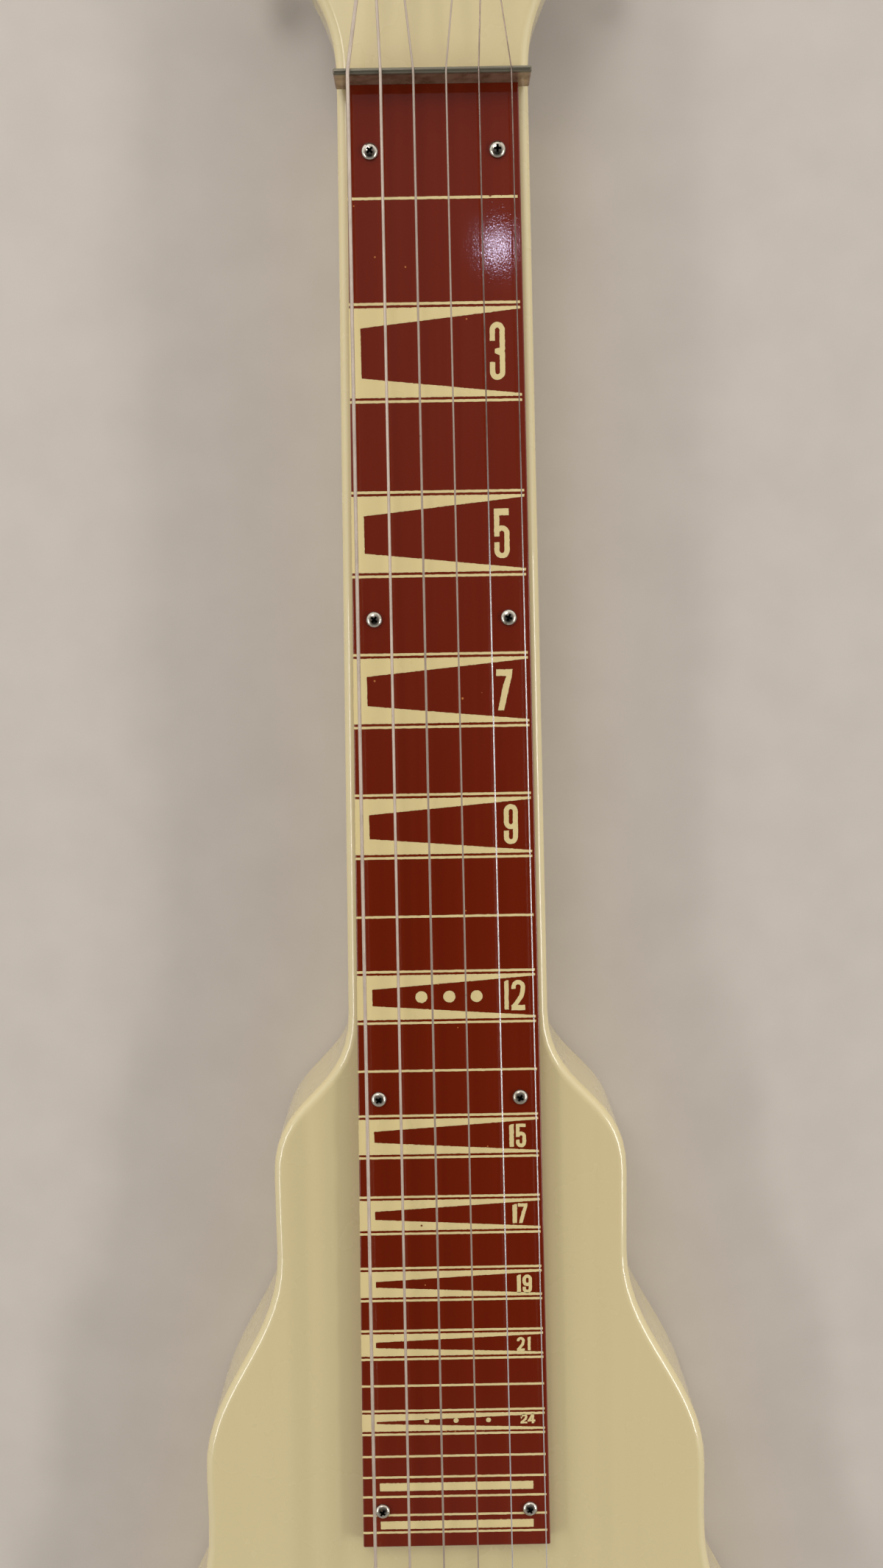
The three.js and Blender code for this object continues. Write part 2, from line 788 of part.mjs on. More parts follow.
function post(place) {
  const gearBottom = wormLevel - gearHeight / 2;
  const spindle = turned([
    [0, gearBottom - gearScrewHeight],
    [gearScrewRadius, gearBottom - gearScrewHeight],
    [gearScrewRadius, gearBottom + gearHeight / 2],
    [postRadius, gearBottom + gearHeight / 2],
    [postRadius, waistBottom - postTaper],
    [postWaist, waistBottom],
    [postWaist, waistTop],
    [postRadius, waistTop + postTaper],
    [postRadius, postTop - postTaper],
    [postRadius - postTaper, postTop],
    [0, postTop],
  ], shaftSides, place.x, place.y);
  const through = [place.x - postRadius - overrun, place.x + postRadius + overrun];
  const level = waistBottom + waistLength / 2;
  const hole = lyingAlongX(postHole, through, place.y, level, smallHoleSides);
  return cut(join([spindle, gear(place)]), [hole]);
}

// A screw thread about the line y, z; towards -Y it crosses at x and at whole leads from it
function thread(x, y, z) {
  const count = Math.round(wormTurns * threadSteps);
  const rings = [];
  for (let k = 0; k <= count; k += 1) {
    const turn = (k / threadSteps - wormTurns / 2) * 2 * Math.PI;
    const place = (radius, offset) => new THREE.Vector3(
      x + (wormLead * turn) / (2 * Math.PI) + offset,
      y - radius * Math.cos(turn),
      z - radius * Math.sin(turn),
    );
    const buried = wormCore - (wormOuter - wormCore) / 2;
    rings.push([
      place(buried, threadRoot / 2),
      place(wormOuter, threadTip / 2),
      place(wormOuter, -threadTip / 2),
      place(buried, -threadRoot / 2),
    ]);
  }
  return skinned(rings);
}

function wormPlace(place) {
  const outside = nutShift + place.side * (headHalfWidth + buttonGap);
  return { y: place.y + centreDistance, z: wormLevel, outside };
}

function ordered(a, b) {
  return [Math.min(a, b), Math.max(a, b)];
}

function wormShaft(place) {
  const { y, z, outside } = wormPlace(place);
  const inner = place.x - place.side * (earInner + earThickness + shaftEnd);
  const outer = outside + place.side * buttonGrip;
  return join([
    lyingAlongX(shaftRadius, ordered(inner, outer), y, z),
    lyingAlongX(wormCore, [place.x - wormReach, place.x + wormReach], y, z),
    thread(place.x, y, z),
  ]);
}

function button(place) {
  const { y, z, outside } = wormPlace(place);
  const flat = buttonThickness / (2 * buttonRadius);
  const profile = [
    [0, 0],
    [buttonNeck, 0],
    [buttonNeck, buttonLength * buttonNeckShare],
    ...buttonProfileShares.map(([wide, far]) => [buttonRadius * wide, buttonLength * far]),
    [0, buttonLength],
  ].map(([radius, level]) => new THREE.Vector2(radius, level));
  const grip = new THREE.LatheGeometry(profile, buttonSides)
    .rotateZ(-Math.PI / 2)
    .scale(1, 1, flat)
    .rotateZ(place.side > 0 ? 0 : Math.PI)
    .translate(outside, y, z);
  const collarEnd = outside + place.side * buttonLength * buttonCollarShare;
  const collar = lyingAlongX(buttonNeck, ordered(outside, collarEnd), y, z, buttonSides);
  const bore = ordered(outside - place.side * overrun, outside + place.side * (buttonGrip + seatGap));
  return cut(join([grip, collar]), [holeAlongX(shaftRadius + seatGap, bore, y, z)]);
}

function bushing({ x, y }) {
  const bore = circumscribed(postRadius + runningGap, bushingSides);
  const bottom = bodyDepth - bushingLength;
  return turned([
    [bore, bottom],
    [bushingBarrel, bottom],
    [bushingBarrel, bodyDepth],
    [bushingFlange, bodyDepth],
    [bushingFlange, bushingTop - seatGap],
    [bushingFlange - seatGap, bushingTop],
    [bore, bushingTop],
    [bore, bottom],
  ], bushingSides, x, y);
}

function tunerPlate(side) {
  const places = postPlaces.filter((place) => place.side === side);
  const x = headX(side);
  const first = Math.min(...places.map((place) => place.y)) - plateMargin;
  const last = Math.max(...places.map((place) => place.y)) + plateMargin + centreDistance / 2;
  const plate = roundedBlock(
    [x - plateHalfWidth, x + plateHalfWidth],
    [first, last],
    [plateBottom, headBottom],
    plateHalfWidth - seatGap,
  );
  const earBottom = wormLevel - wormOuter - earThickness / 2;
  const ears = places.flatMap((place) => [-1, 1].map((way) => {
    const { y } = wormPlace(place);
    const near = x + way * earInner;
    return box(
      ordered(near, near + way * earThickness),
      [y - earHalfWidth, y + earHalfWidth],
      [earBottom, plateBottom + plateThickness / 2],
    );
  }));
  const throughPlate = [plateBottom - overrun, headBottom + overrun];
  const earReach = earInner + earThickness + overrun;
  const holes = places.flatMap((place) => [
    uprightHole(postRadius + runningGap, place.x, place.y, throughPlate),
    holeAlongX(shaftRadius + runningGap, [x - earReach, x + earReach], wormPlace(place).y, wormLevel),
  ]);
  return cut(join([plate, ...ears]), holes);
}

// Pickup

const coverTop = bodyDepth + coverHeight;
const poleTop = coverTop + poleLift;

function pickupCover() {
  const halfX = coverLength / 2;
  const halfY = coverWidth / 2;
  const shell = roundedBlock(
    [pickupX - halfX, pickupX + halfX],
    [pickupY - halfY, pickupY + halfY],
    [bodyDepth, coverTop],
    coverCorner,
  );
  const lugs = roundedBlock(
    [pickupX - halfX - coverLug, pickupX + halfX + coverLug],
    [pickupY - halfY / 2, pickupY + halfY / 2],
    [bodyDepth, bodyDepth + lugThickness],
    halfY / 2 - seatGap,
  );
  const hollow = roundedBlock(
    [pickupX - halfX + coverWall, pickupX + halfX - coverWall],
    [pickupY - halfY + coverWall, pickupY + halfY - coverWall],
    [bodyDepth - overrun, coverTop - coverWall],
    coverCorner - coverWall,
  );
  const slot = box(
    [pickupX - poleLength / 2 - seatGap, pickupX + poleLength / 2 + seatGap],
    [pickupY - poleThickness / 2 - seatGap, pickupY + poleThickness / 2 + seatGap],
    [bodyDepth, coverTop + overrun],
  );
  return cut(join([shell, lugs]), [hollow, slot]);
}

function pickupCoil() {
  const [halfX, halfY] = [coilLength / 2, coilWidth / 2];
  const layer = (inset, low, high) => roundedBlock(
    [pickupX - halfX + inset, pickupX + halfX - inset],
    [pickupY - halfY + inset, pickupY + halfY - inset],
    [low, high],
    halfY - inset - seatGap,
  );
  const top = coilBottom + coilHeight;
  const bobbin = join([
    layer(0, coilBottom, coilBottom + coilFlange),
    layer(coilWaist, coilBottom + coilFlange / 2, top - coilFlange / 2),
    layer(0, top - coilFlange, top),
  ]);
  return cut(bobbin, [box(
    [pickupX - poleLength / 2 - seatGap, pickupX + poleLength / 2 + seatGap],
    [pickupY - poleThickness / 2 - seatGap, pickupY + poleThickness / 2 + seatGap],
    [coilBottom - overrun, top + overrun],
  )]);
}

function poleBar() {
  return box(
    [pickupX - poleLength / 2, pickupX + poleLength / 2],
    [pickupY - poleThickness / 2, pickupY + poleThickness / 2],
    [coilBottom, poleTop],
  );
}

function pickupMagnet() {
  return box(
    [pickupX - poleLength / 2, pickupX + poleLength / 2],
    [pickupY - coilWidth / 2, pickupY + coilWidth / 2],
    [magnetBottom, magnetTop],
  );
}

// Hand rest

function handRest() {
  const y = [pastBridge(restWidth - restBeforeBridge), pastBridge(-restBeforeBridge)];
  const arch = (half, zRange, bend, extra) => {
    const [bottom, top] = zRange;
    const shape = new THREE.Shape();
    shape.moveTo(-half, bottom);
    shape.lineTo(-half, top - bend);
    shape.absarc(-half + bend, top - bend, bend, Math.PI, Math.PI / 2, true);
    shape.absarc(half - bend, top - bend, bend, Math.PI / 2, 0, true);
    shape.lineTo(half, bottom);
    const depth = restWidth + 2 * extra;
    return new THREE.ExtrudeGeometry(shape, { depth, bevelEnabled: false, curveSegments: archSteps })
      .rotateX(Math.PI / 2)
      .translate(bridgeShift, y[1] + extra, 0);
  };
  const outerHalf = restInnerHalf + restWall;
  const top = bodyDepth + restHeight;
  const outer = arch(outerHalf, [bodyDepth, top], restBend + restWall, 0);
  const inner = arch(restInnerHalf, [bodyDepth - overrun, top - restWall], restBend, overrun);
  const feet = [-1, 1].map((side) => {
    const tip = bridgeShift + side * (outerHalf + restFoot);
    const root = bridgeShift + side * (restInnerHalf + restWall / 2);
    return box(ordered(tip, root), y, [bodyDepth, bodyDepth + restWall]);
  });
  const ribHalf = outerHalf - 2 * restBend;
  const ribs = Array.from({ length: ribCount }, (_, k) => {
    const ribY = (y[0] + y[1]) / 2 + (k - (ribCount - 1) / 2) * ribPitch;
    return box(
      [bridgeShift - ribHalf, bridgeShift + ribHalf],
      [ribY - ribWidth / 2, ribY + ribWidth / 2],
      [top - restWall / 2, top + ribDepth],
    );
  });
  return cut(join([outer, ...feet, ...ribs]), [inner]);
}

// Controls

function knob({ x, y }) {
  const bottom = bodyDepth + knobLift;
  const top = bottom + knobHeight;
  const skirtTop = bottom + knobSkirt;
  const outline = Array.from({ length: 2 * fluteCount }, (_, k) => {
    const turn = (Math.PI * k) / fluteCount;
    const radius = knobTopRadius - (k % 2) * fluteDepth;
    return new THREE.Vector2(radius * Math.cos(turn), radius * Math.sin(turn));
  });
  const grip = new THREE.ExtrudeGeometry(new THREE.Shape(outline), {
    depth: top - skirtTop - fluteDepth,
    bevelThickness: fluteDepth,
    bevelSize: fluteDepth,
    bevelOffset: -fluteDepth,
    bevelSegments: 1,
  }).translate(x, y, skirtTop);
  const skirt = turned([
    [0, bottom],
    [knobRadius, bottom],
    [knobRadius, bottom + knobSkirt / 2],
    [knobTopRadius, skirtTop + fluteDepth],
    [0, skirtTop + fluteDepth],
  ], knobSides, x, y);
  const nutRoom = potThreadAbove - knobLift + runningGap;
  return cut(join([skirt, grip]), [
    uprightHole(potNutRadius + runningGap, x, y, [bottom - overrun, bottom + nutRoom]),
    uprightHole(potShaftRadius + seatGap, x, y, [bottom, top - knobCrown]),
  ]);
}

function pot({ x, y }) {
  const canTop = deckUnderside;
  const canBottom = canTop - potHeight;
  const bore = circumscribed(potShaftRadius + runningGap, potSides);
  const threadTop = bodyDepth + potThreadAbove;
  return turned([
    [0, canBottom],
    [potRadius, canBottom],
    [potRadius, canTop],
    [potThread, canTop],
    [potThread, bodyDepth],
    [potNutRadius, bodyDepth],
    [potNutRadius, bodyDepth + potNutHeight],
    [potThread, bodyDepth + potNutHeight],
    [potThread, threadTop],
    [bore, threadTop],
    [bore, canBottom + potFloor],
    [0, canBottom + potFloor],
  ], potSides, x, y);
}

function potShaft({ x, y }) {
  const low = deckUnderside - potHeight + potFloor + runningGap;
  const high = bodyDepth + knobLift + knobHeight - knobCrown - seatGap;
  return upright(potShaftRadius, x, y, [low, high], potSides);
}

function controlCover() {
  const reach = coverLedge - seatGap;
  return roundedBlock(
    cavityX.map((x, i) => x + (i ? reach : -reach)),
    cavityY.map((y, i) => y + (i ? reach : -reach)),
    [coverRecess, coverDepth],
    cavityCorner + reach,
  );
}

function capacitor() {
  const { x, y } = pots[1];
  const level = deckUnderside - potHeight - seatGap - capacitorRadius;
  return lyingAlongY(capacitorRadius, [y - capacitorLength / 2, y + capacitorLength / 2], x, level);
}

function jackSocket() {
  const seat = sideWall - jackCupDepth + jackPlateThickness;
  const inner = seat - jackLength;
  const half = jackBlock / 2;
  const block = box(
    [inner, inner + jackBlockLength],
    [jackY - half, jackY + half],
    [jackZ - half, jackZ + half],
  );
  const outside = join([
    lyingAlongX(jackThread, [inner, seat + jackNutHeight + seatGap], jackY, jackZ, socketSides),
    lyingAlongX(jackNutRadius, [seat, seat + jackNutHeight], jackY, jackZ, hexagon),
    block,
  ]);
  const bore = [inner + jackPlateThickness, sideWall + overrun];
  return cut(outside, [holeAlongX(jackBore, bore, jackY, jackZ, socketSides)]);
}

function jackPlate() {
  const floor = sideWall - jackCupDepth;
  const deep = [floor, floor + jackPlateThickness];
  const plate = lyingAlongX(jackCup - seatGap, deep, jackY, jackZ, plateSides);
  const through = [floor - overrun, floor + overrun];
  return cut(plate, [holeAlongX(jackThread + seatGap, through, jackY, jackZ, socketSides)]);
}

// Assembly

add('body', body(), 'lacquer');
add('fretboard', fretboard(), 'maroonPlastic');
boardScrews.forEach((place, i) => add(`board_screw_${i + 1}`, boardScrew(place), 'nickel'));
add('nut', nut(), 'nickel');
add('bridge', bridge(), 'nickel');
add('tailpiece', tailpiece(), 'nickel');

for (let i = 0; i < stringCount; i += 1) {
  const number = stringCount - i;
  const { geometry, wraps, radius } = string(i);
  console.log(`string_${number}: least gap between its wraps ${leastGap(wraps, radius).toFixed(2)} mm`);
  add(`string_${number}`, geometry, 'steel');
}

add('tuner_plate_bass', tunerPlate(-1), 'nickel');
add('tuner_plate_treble', tunerPlate(1), 'nickel');
postPlaces.forEach((place, i) => {
  const number = stringCount - i;
  add(`post_${number}`, post(place), 'nickel');
  add(`worm_shaft_${number}`, wormShaft(place), 'steel');
  add(`button_${number}`, button(place), 'ivoryPlastic');
  add(`bushing_${number}`, bushing(place), 'nickel');
});

add('pickup_cover', pickupCover(), 'nickel');
add('pickup_coil', pickupCoil(), 'blackPlastic');
add('pole_bar', poleBar(), 'steel');
add('pickup_magnet', pickupMagnet(), 'magnetGrey');
add('hand_rest', handRest(), 'nickel');

pots.forEach((place, i) => {
  const use = i ? 'tone' : 'volume';
  add(`${use}_knob`, knob(place), 'ivoryPlastic');
  add(`${use}_pot`, pot(place), 'steel');
  add(`${use}_shaft`, potShaft(place), 'brass');
});
add('control_cover', controlCover(), 'blackPlastic');
add('capacitor', capacitor(), 'capacitorBrown');
add('jack_socket', jackSocket(), 'nickel');
add('jack_plate', jackPlate(), 'nickel');

export default guitar;
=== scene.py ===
# %% [markdown]
# A lap steel guitar, seen from above its neck.
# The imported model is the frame: it says where each part is, how big it is and how it moves.
# This lesson dresses that frame. Each part gets its fine shape and its finish, in the same metres.

# %% Load the frame
import json
import math
import random

import bmesh
import bpy
from mathutils import Matrix, Vector

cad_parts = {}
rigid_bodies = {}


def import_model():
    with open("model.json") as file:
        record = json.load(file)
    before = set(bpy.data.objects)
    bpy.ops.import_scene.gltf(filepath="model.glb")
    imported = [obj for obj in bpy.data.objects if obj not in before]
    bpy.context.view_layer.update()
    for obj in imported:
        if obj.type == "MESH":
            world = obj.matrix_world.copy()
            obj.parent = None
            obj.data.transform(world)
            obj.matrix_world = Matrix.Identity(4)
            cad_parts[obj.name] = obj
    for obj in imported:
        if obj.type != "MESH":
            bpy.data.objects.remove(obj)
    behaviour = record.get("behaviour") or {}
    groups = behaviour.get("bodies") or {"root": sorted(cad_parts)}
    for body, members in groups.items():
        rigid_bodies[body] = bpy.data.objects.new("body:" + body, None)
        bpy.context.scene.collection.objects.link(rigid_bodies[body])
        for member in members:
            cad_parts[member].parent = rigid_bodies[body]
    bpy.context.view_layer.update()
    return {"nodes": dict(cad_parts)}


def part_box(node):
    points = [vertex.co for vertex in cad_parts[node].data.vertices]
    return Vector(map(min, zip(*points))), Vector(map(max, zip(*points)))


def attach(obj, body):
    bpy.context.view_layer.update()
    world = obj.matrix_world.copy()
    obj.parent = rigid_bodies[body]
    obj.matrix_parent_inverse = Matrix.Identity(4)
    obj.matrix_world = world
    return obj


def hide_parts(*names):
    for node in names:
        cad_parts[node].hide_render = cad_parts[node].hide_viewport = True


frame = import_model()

nodes = frame["nodes"]
scene = bpy.context.scene
mm = 0.001

# %% [markdown]
# The camera comes first. It stands 40 cm over the neck and looks almost straight down.
# Its focal length and place were fitted to the fret lines, which follow a known rule.

# %% Camera
focal_px = 1724
photo_height_px = 2130
camera_data = bpy.data.cameras.new("camera")
camera_data.lens = camera_data.sensor_width * focal_px / photo_height_px
camera_data.clip_start = 10 * mm
camera = bpy.data.objects.new("camera", camera_data)
camera.location = (-1.4 * mm, 92.3 * mm, 441.8 * mm)
camera.rotation_euler = [math.radians(angle) for angle in (-7.105, -0.201, -0.974)]
scene.collection.objects.link(camera)
scene.camera = camera
print("lens", round(camera_data.lens, 2), "mm")

# %% [markdown]
# Node trees are easier to read when a helper places a node and joins its inputs in one call. An
# input is given by its name or number, and its value is a number, a colour, a socket of another
# node, or a whole node, which stands for its first output.

# %% Node helpers


def feed(tree, socket, value):
    """Links an input to another node, or sets its value."""
    if isinstance(value, bpy.types.Node):
        value = value.outputs[0]
    if isinstance(value, bpy.types.NodeSocket):
        tree.links.new(value, socket)
    else:
        socket.default_value = value


def place(tree, kind, inputs=None, **settings):
    """Adds a node, sets its properties, and fills its inputs with values or links."""
    node = tree.nodes.new(kind)
    for name, value in settings.items():
        setattr(node, name, value)
    for key, value in (inputs or {}).items():
        feed(tree, node.inputs[key], value)
    return node


def math_node(tree, operation, *values):
    return place(tree, "ShaderNodeMath", dict(enumerate(values)), operation=operation).outputs[0]


def socket_of(sockets, identifier):
    """One of several sockets that share a name."""
    return next(socket for socket in sockets if socket.identifier == identifier)


def mixed(tree, factor, first, second):
    """The colour between two others."""
    node = place(tree, "ShaderNodeMix", data_type="RGBA")
    for identifier, value in (("Factor_Float", factor), ("A_Color", first), ("B_Color", second)):
        feed(tree, socket_of(node.inputs, identifier), value)
    return socket_of(node.outputs, "Result_Color")


def ramp(tree, value, low, high):
    """0 below low, 1 above high and a straight line between."""
    node = place(tree, "ShaderNodeMapRange", {"Value": value, "From Min": low, "From Max": high})
    return node.outputs["Result"]


def new_group(name, inputs, outputs, kind="ShaderNodeTree"):
    """An empty node group, with what goes in and what comes out. A socket is named with its first
    value, or with its type if it has none."""
    tree = bpy.data.node_groups.new(name, kind)
    for way, sockets in (("INPUT", inputs), ("OUTPUT", outputs)):
        for socket, value in sockets.items():
            typed = {float: "Float", int: "Int"}.get(type(value), value)
            made = tree.interface.new_socket(socket, in_out=way, socket_type=f"NodeSocket{typed}")
            if typed != value:
                made.default_value = value
    return tree, tree.nodes.new("NodeGroupInput").outputs, tree.nodes.new("NodeGroupOutput").inputs


print("node helpers ready")

# %% [markdown]
# Three effects return on nearly every old finish: small specks, long streaks and a cloudy unevenness.
# Each is a node group, built once, and every material places it with its own sizes.

# %% Shared effects


def specks_group():
    """Round specks of uneven size, scattered in space. Share is how many cells hold one."""
    tree, given, result = new_group("specks", {
        "Vector": "Vector",
        "Per metre": 400.0,
        "Share": 0.1,
        "Size": 0.2,
    }, {"Mask": "Float"})
    cells = place(tree, "ShaderNodeTexVoronoi", {
        "Vector": given["Vector"],
        "Scale": given["Per metre"],
    })
    parts = place(tree, "ShaderNodeSeparateColor", {"Color": cells.outputs["Color"]})
    chosen = math_node(tree, "LESS_THAN", parts.outputs["Red"], given["Share"])
    reach = math_node(tree, "MULTIPLY", given["Size"], parts.outputs["Green"])
    near = math_node(tree, "LESS_THAN", cells.outputs["Distance"], reach)
    tree.links.new(math_node(tree, "MULTIPLY", chosen, near), result["Mask"])
    return tree


def streaks_group():
    """Noise drawn out along Y, like grain or the marks of an extruder."""
    tree, given, result = new_group("streaks", {
        "Vector": "Vector",
        "Per metre": 200.0,
        "Stretch": 40.0,
    }, {"Factor": "Float"})
    across = given["Per metre"]
    along = math_node(tree, "DIVIDE", across, given["Stretch"])
    scale = place(tree, "ShaderNodeCombineXYZ", {"X": across, "Y": along, "Z": across})
    drawn = place(tree, "ShaderNodeVectorMath", {
        0: given["Vector"],
        1: scale,
    }, operation="MULTIPLY")
    noise = place(tree, "ShaderNodeTexNoise", {"Vector": drawn, "Scale": 1.0, "Detail": 3.0})
    tree.links.new(noise.outputs["Fac"], result["Factor"])
    return tree


def clouds_group():
    """Soft uneven patches, from 0 to 1."""
    tree, given, result = new_group("clouds", {
        "Vector": "Vector",
        "Per metre": 20.0,
        "Low": 0.35,
        "High": 0.65,
        "Detail": 4.0,
    }, {"Factor": "Float"})
    noise = place(tree, "ShaderNodeTexNoise", {
        "Vector": given["Vector"],
        "Scale": given["Per metre"],
        "Detail": given["Detail"],
    })
    factor = ramp(tree, noise.outputs["Fac"], given["Low"], given["High"])
    tree.links.new(factor, result["Factor"])
    return tree


effects = {"specks": specks_group(), "streaks": streaks_group(), "clouds": clouds_group()}
print("shared effects:", ", ".join(effects))

# %% [markdown]
# A material starts from one Principled shader. What is the same all over the piece is set on the
# shader's own sockets, and only what changes over the surface comes from nodes.

# %% Material helpers


class Finish:
    """A material under construction, with short ways to add the shared effects."""

    def __init__(self, name, **constants):
        self.material = bpy.data.materials.new(name)
        self.material.use_nodes = True
        self.tree = self.material.node_tree
        self.shader = self.tree.nodes["Principled BSDF"]
        self.place = place(self.tree, "ShaderNodeTexCoord").outputs["Object"]
        for socket, value in constants.items():
            self.shader.inputs[socket.replace("_", " ")].default_value = value

    def effect(self, name, **inputs):
        node = self.tree.nodes.new("ShaderNodeGroup")
        node.node_tree = effects[name]
        self.tree.links.new(self.place, node.inputs["Vector"])
        for socket, value in inputs.items():
            node.inputs[socket.replace("_", " ")].default_value = value
        return node.outputs[0]

    def mix(self, factor, first, second):
        return mixed(self.tree, factor, first, second)

    def link(self, socket, value):
        self.tree.links.new(value, self.shader.inputs[socket])

    def between(self, factor, low, high):
        """A value that runs from low to high with the factor."""
        node = place(self.tree, "ShaderNodeMapRange", {"Value": factor, "To Min": low, "To Max": high})
        return node.outputs["Result"]

    def bump(self, strength, distance, *heights):
        """Each height changes the normal on top of the one before."""
        normal = None
        for height in heights:
            inputs = {"Strength": strength, "Distance": distance, "Height": height}
            if normal:
                inputs["Normal"] = normal
            normal = place(self.tree, "ShaderNodeBump", inputs).outputs["Normal"]
        self.link("Normal", normal)


def srgb(red, green, blue):
    """A colour as a screen shows it, from 0 to 255, in the linear values that a shader takes."""
    def linear(value):
        value /= 255
        return value / 12.92 if value <= 0.04045 else ((value + 0.055) / 1.055) ** 2.4
    return (linear(red), linear(green), linear(blue), 1.0)


print("material helpers ready")

# %% [markdown]
# The body is sprayed with a cream lacquer that has yellowed a little. It is glossy, its surface is
# not quite level, and small specks of dirt sit under it.

# %% Cream lacquer


def cream_lacquer():
    finish = Finish("cream_lacquer", Coat_Weight=0.7, Coat_Roughness=0.04, Specular_IOR_Level=0.4)
    aged = finish.mix(
        finish.effect("clouds", Per_metre=7.0, Low=0.2, High=0.8),
        srgb(208, 193, 149), srgb(201, 185, 140))
    grained = finish.mix(
        finish.effect("streaks", Per_metre=160.0, Stretch=30.0), aged, srgb(209, 194, 149))
    dirty = finish.mix(
        finish.effect("specks", Per_metre=260.0, Share=0.015, Size=0.14), grained, srgb(140, 120, 84))
    finish.link("Base Color", dirty)
    gloss = finish.effect("clouds", Per_metre=40.0, Low=0.1, High=0.9)
    finish.link("Roughness", finish.between(gloss, 0.24, 0.3))
    finish.bump(
        0.1, 0.1 * mm,
        finish.effect("clouds", Per_metre=90.0, Low=0.0, High=1.0),
        finish.effect("streaks", Per_metre=500.0, Stretch=6.0),
    )
    return finish.material


lacquer = cream_lacquer()
print(lacquer.name)

# %% [markdown]
# The fretboard is a sheet of maroon plastic. Faint streaks run along it, dust and chips show as tiny
# pale specks, and fine dents make the gloss sparkle where a lamp is mirrored.

# %% Maroon plastic and its cream print


def maroon_plastic():
    finish = Finish("maroon_plastic", Specular_IOR_Level=0.5)
    body = finish.mix(
        finish.effect("streaks", Per_metre=420.0, Stretch=60.0), srgb(100, 26, 7), srgb(108, 32, 11))
    dusted = finish.mix(
        finish.effect("specks", Per_metre=330.0, Share=0.05, Size=0.12), body, srgb(176, 110, 60))
    finish.link("Base Color", dusted)
    finish.link("Roughness", finish.between(finish.effect("clouds", Per_metre=30.0), 0.04, 0.06))
    dents = finish.effect("clouds", Per_metre=2600.0, Low=0.2, High=0.8, Detail=0.5)
    finish.bump(0.25, 0.013 * mm, dents)
    return finish.material


def cream_print():
    finish = Finish("cream_print", Specular_IOR_Level=0.4)
    ink = finish.mix(
        finish.effect("streaks", Per_metre=180.0, Stretch=25.0),
        srgb(210, 192, 138), srgb(217, 199, 146))
    chipped = finish.mix(
        finish.effect("specks", Per_metre=300.0, Share=0.035, Size=0.16), ink, srgb(120, 70, 40))
    finish.link("Base Color", chipped)
    finish.link("Roughness", finish.between(finish.effect("clouds", Per_metre=50.0), 0.25, 0.4))
    finish.bump(0.2, 0.05 * mm, finish.effect("clouds", Per_metre=1200.0))
    return finish.material


maroon = maroon_plastic()
ink = cream_print()
print(maroon.name, "and", ink.name)

# %% [markdown]
# Nickel plate dulls with age: brownish clouds dim it, and cloths leave fine scratches. Steel and
# brass take the same recipe with other colours, so one function makes them all. The nut's face is
# a brown that is partly stain and partly painted reflection, up to just under its edge. Steel is
# painted darker from about 10 cm short of the nut up to the headstock, and bright further down: a
# painted highlight on the plain strings.

# %% Metals


def aged_metal(name, bright, dull, roughness, metallic=1.0, painted_shade=None, painted_band=None):
    """A metal. Faces with the attribute named by painted_shade are painted almost black, as painted
    shade.
    painted_band gives an axis, where the band's colour ends and the metal's own starts along it, and
    the band's two colours; this split paints light into the colour."""
    finish = Finish(name, Metallic=metallic)
    clouds = finish.effect("clouds", Per_metre=110.0, Low=0.45, High=0.85)
    pits = finish.effect("specks", Per_metre=700.0, Share=0.08, Size=0.3)
    colour = finish.mix(pits, finish.mix(clouds, bright, dull), dull)
    # A band along an axis paints light into the colour: partly a painted reflection on the nut's face,
    # and a painted highlight on the plain strings.
    if painted_band:
        axis, band_end, own_colour_from, band_colour_1, band_colour_2 = painted_band
        along_axis = place(finish.tree, "ShaderNodeSeparateXYZ", {"Vector": finish.place}).outputs[axis]
        band_colour = finish.mix(
            finish.effect("clouds", Per_metre=260.0, Low=0.4, High=0.65), band_colour_1, band_colour_2)
        colour = finish.mix(ramp(finish.tree, along_axis, band_end, own_colour_from), band_colour, colour)
    low, high = roughness
    gloss = finish.between(clouds, low, high)
    # Faces with the attribute are painted almost black and made rougher: painted shade in the recess.
    if painted_shade:
        held = place(finish.tree, "ShaderNodeAttribute", attribute_name=painted_shade).outputs["Fac"]
        colour = finish.mix(held, colour, srgb(22, 18, 15))
        gloss = math_node(finish.tree, "MAXIMUM", gloss, math_node(finish.tree, "MULTIPLY", held, 0.7))
    finish.link("Base Color", colour)
    finish.link("Roughness", gloss)
    finish.bump(0.08, 0.05 * mm, finish.effect("streaks", Per_metre=2500.0, Stretch=15.0))
    return finish.material


# The nut's face below the first level is a brown that is partly stain, partly painted reflection; above
# the second its rounded top is dull nickel.
nut_band_below, nut_top_colour_above = 50.8 * mm, 51.8 * mm
# Steel is painted darker above the first place, towards the nut, and bright below the second: a painted
# highlight on the plain strings.
strings_dark_above, strings_bright_below = 150 * mm, 90 * mm
nickel = aged_metal("aged_nickel", srgb(206, 201, 189), srgb(176, 166, 146), (0.14, 0.3))
# The nut's metal: its face is partly stain, partly painted reflection.
stained_nickel_painted_reflection = aged_metal(
    "stained_nickel_painted_reflection", srgb(106, 101, 86), srgb(96, 84, 72), (0.2, 0.36), metallic=0.5,
    painted_band=("Z", nut_band_below, nut_top_colour_above, srgb(166, 140, 116), srgb(128, 102, 80)))
# The cross recess of each screw head is painted almost black: painted shade.
screw_nickel = aged_metal(
    "screw_nickel", srgb(180, 174, 162), srgb(140, 130, 112), (0.16, 0.3), painted_shade="recess")
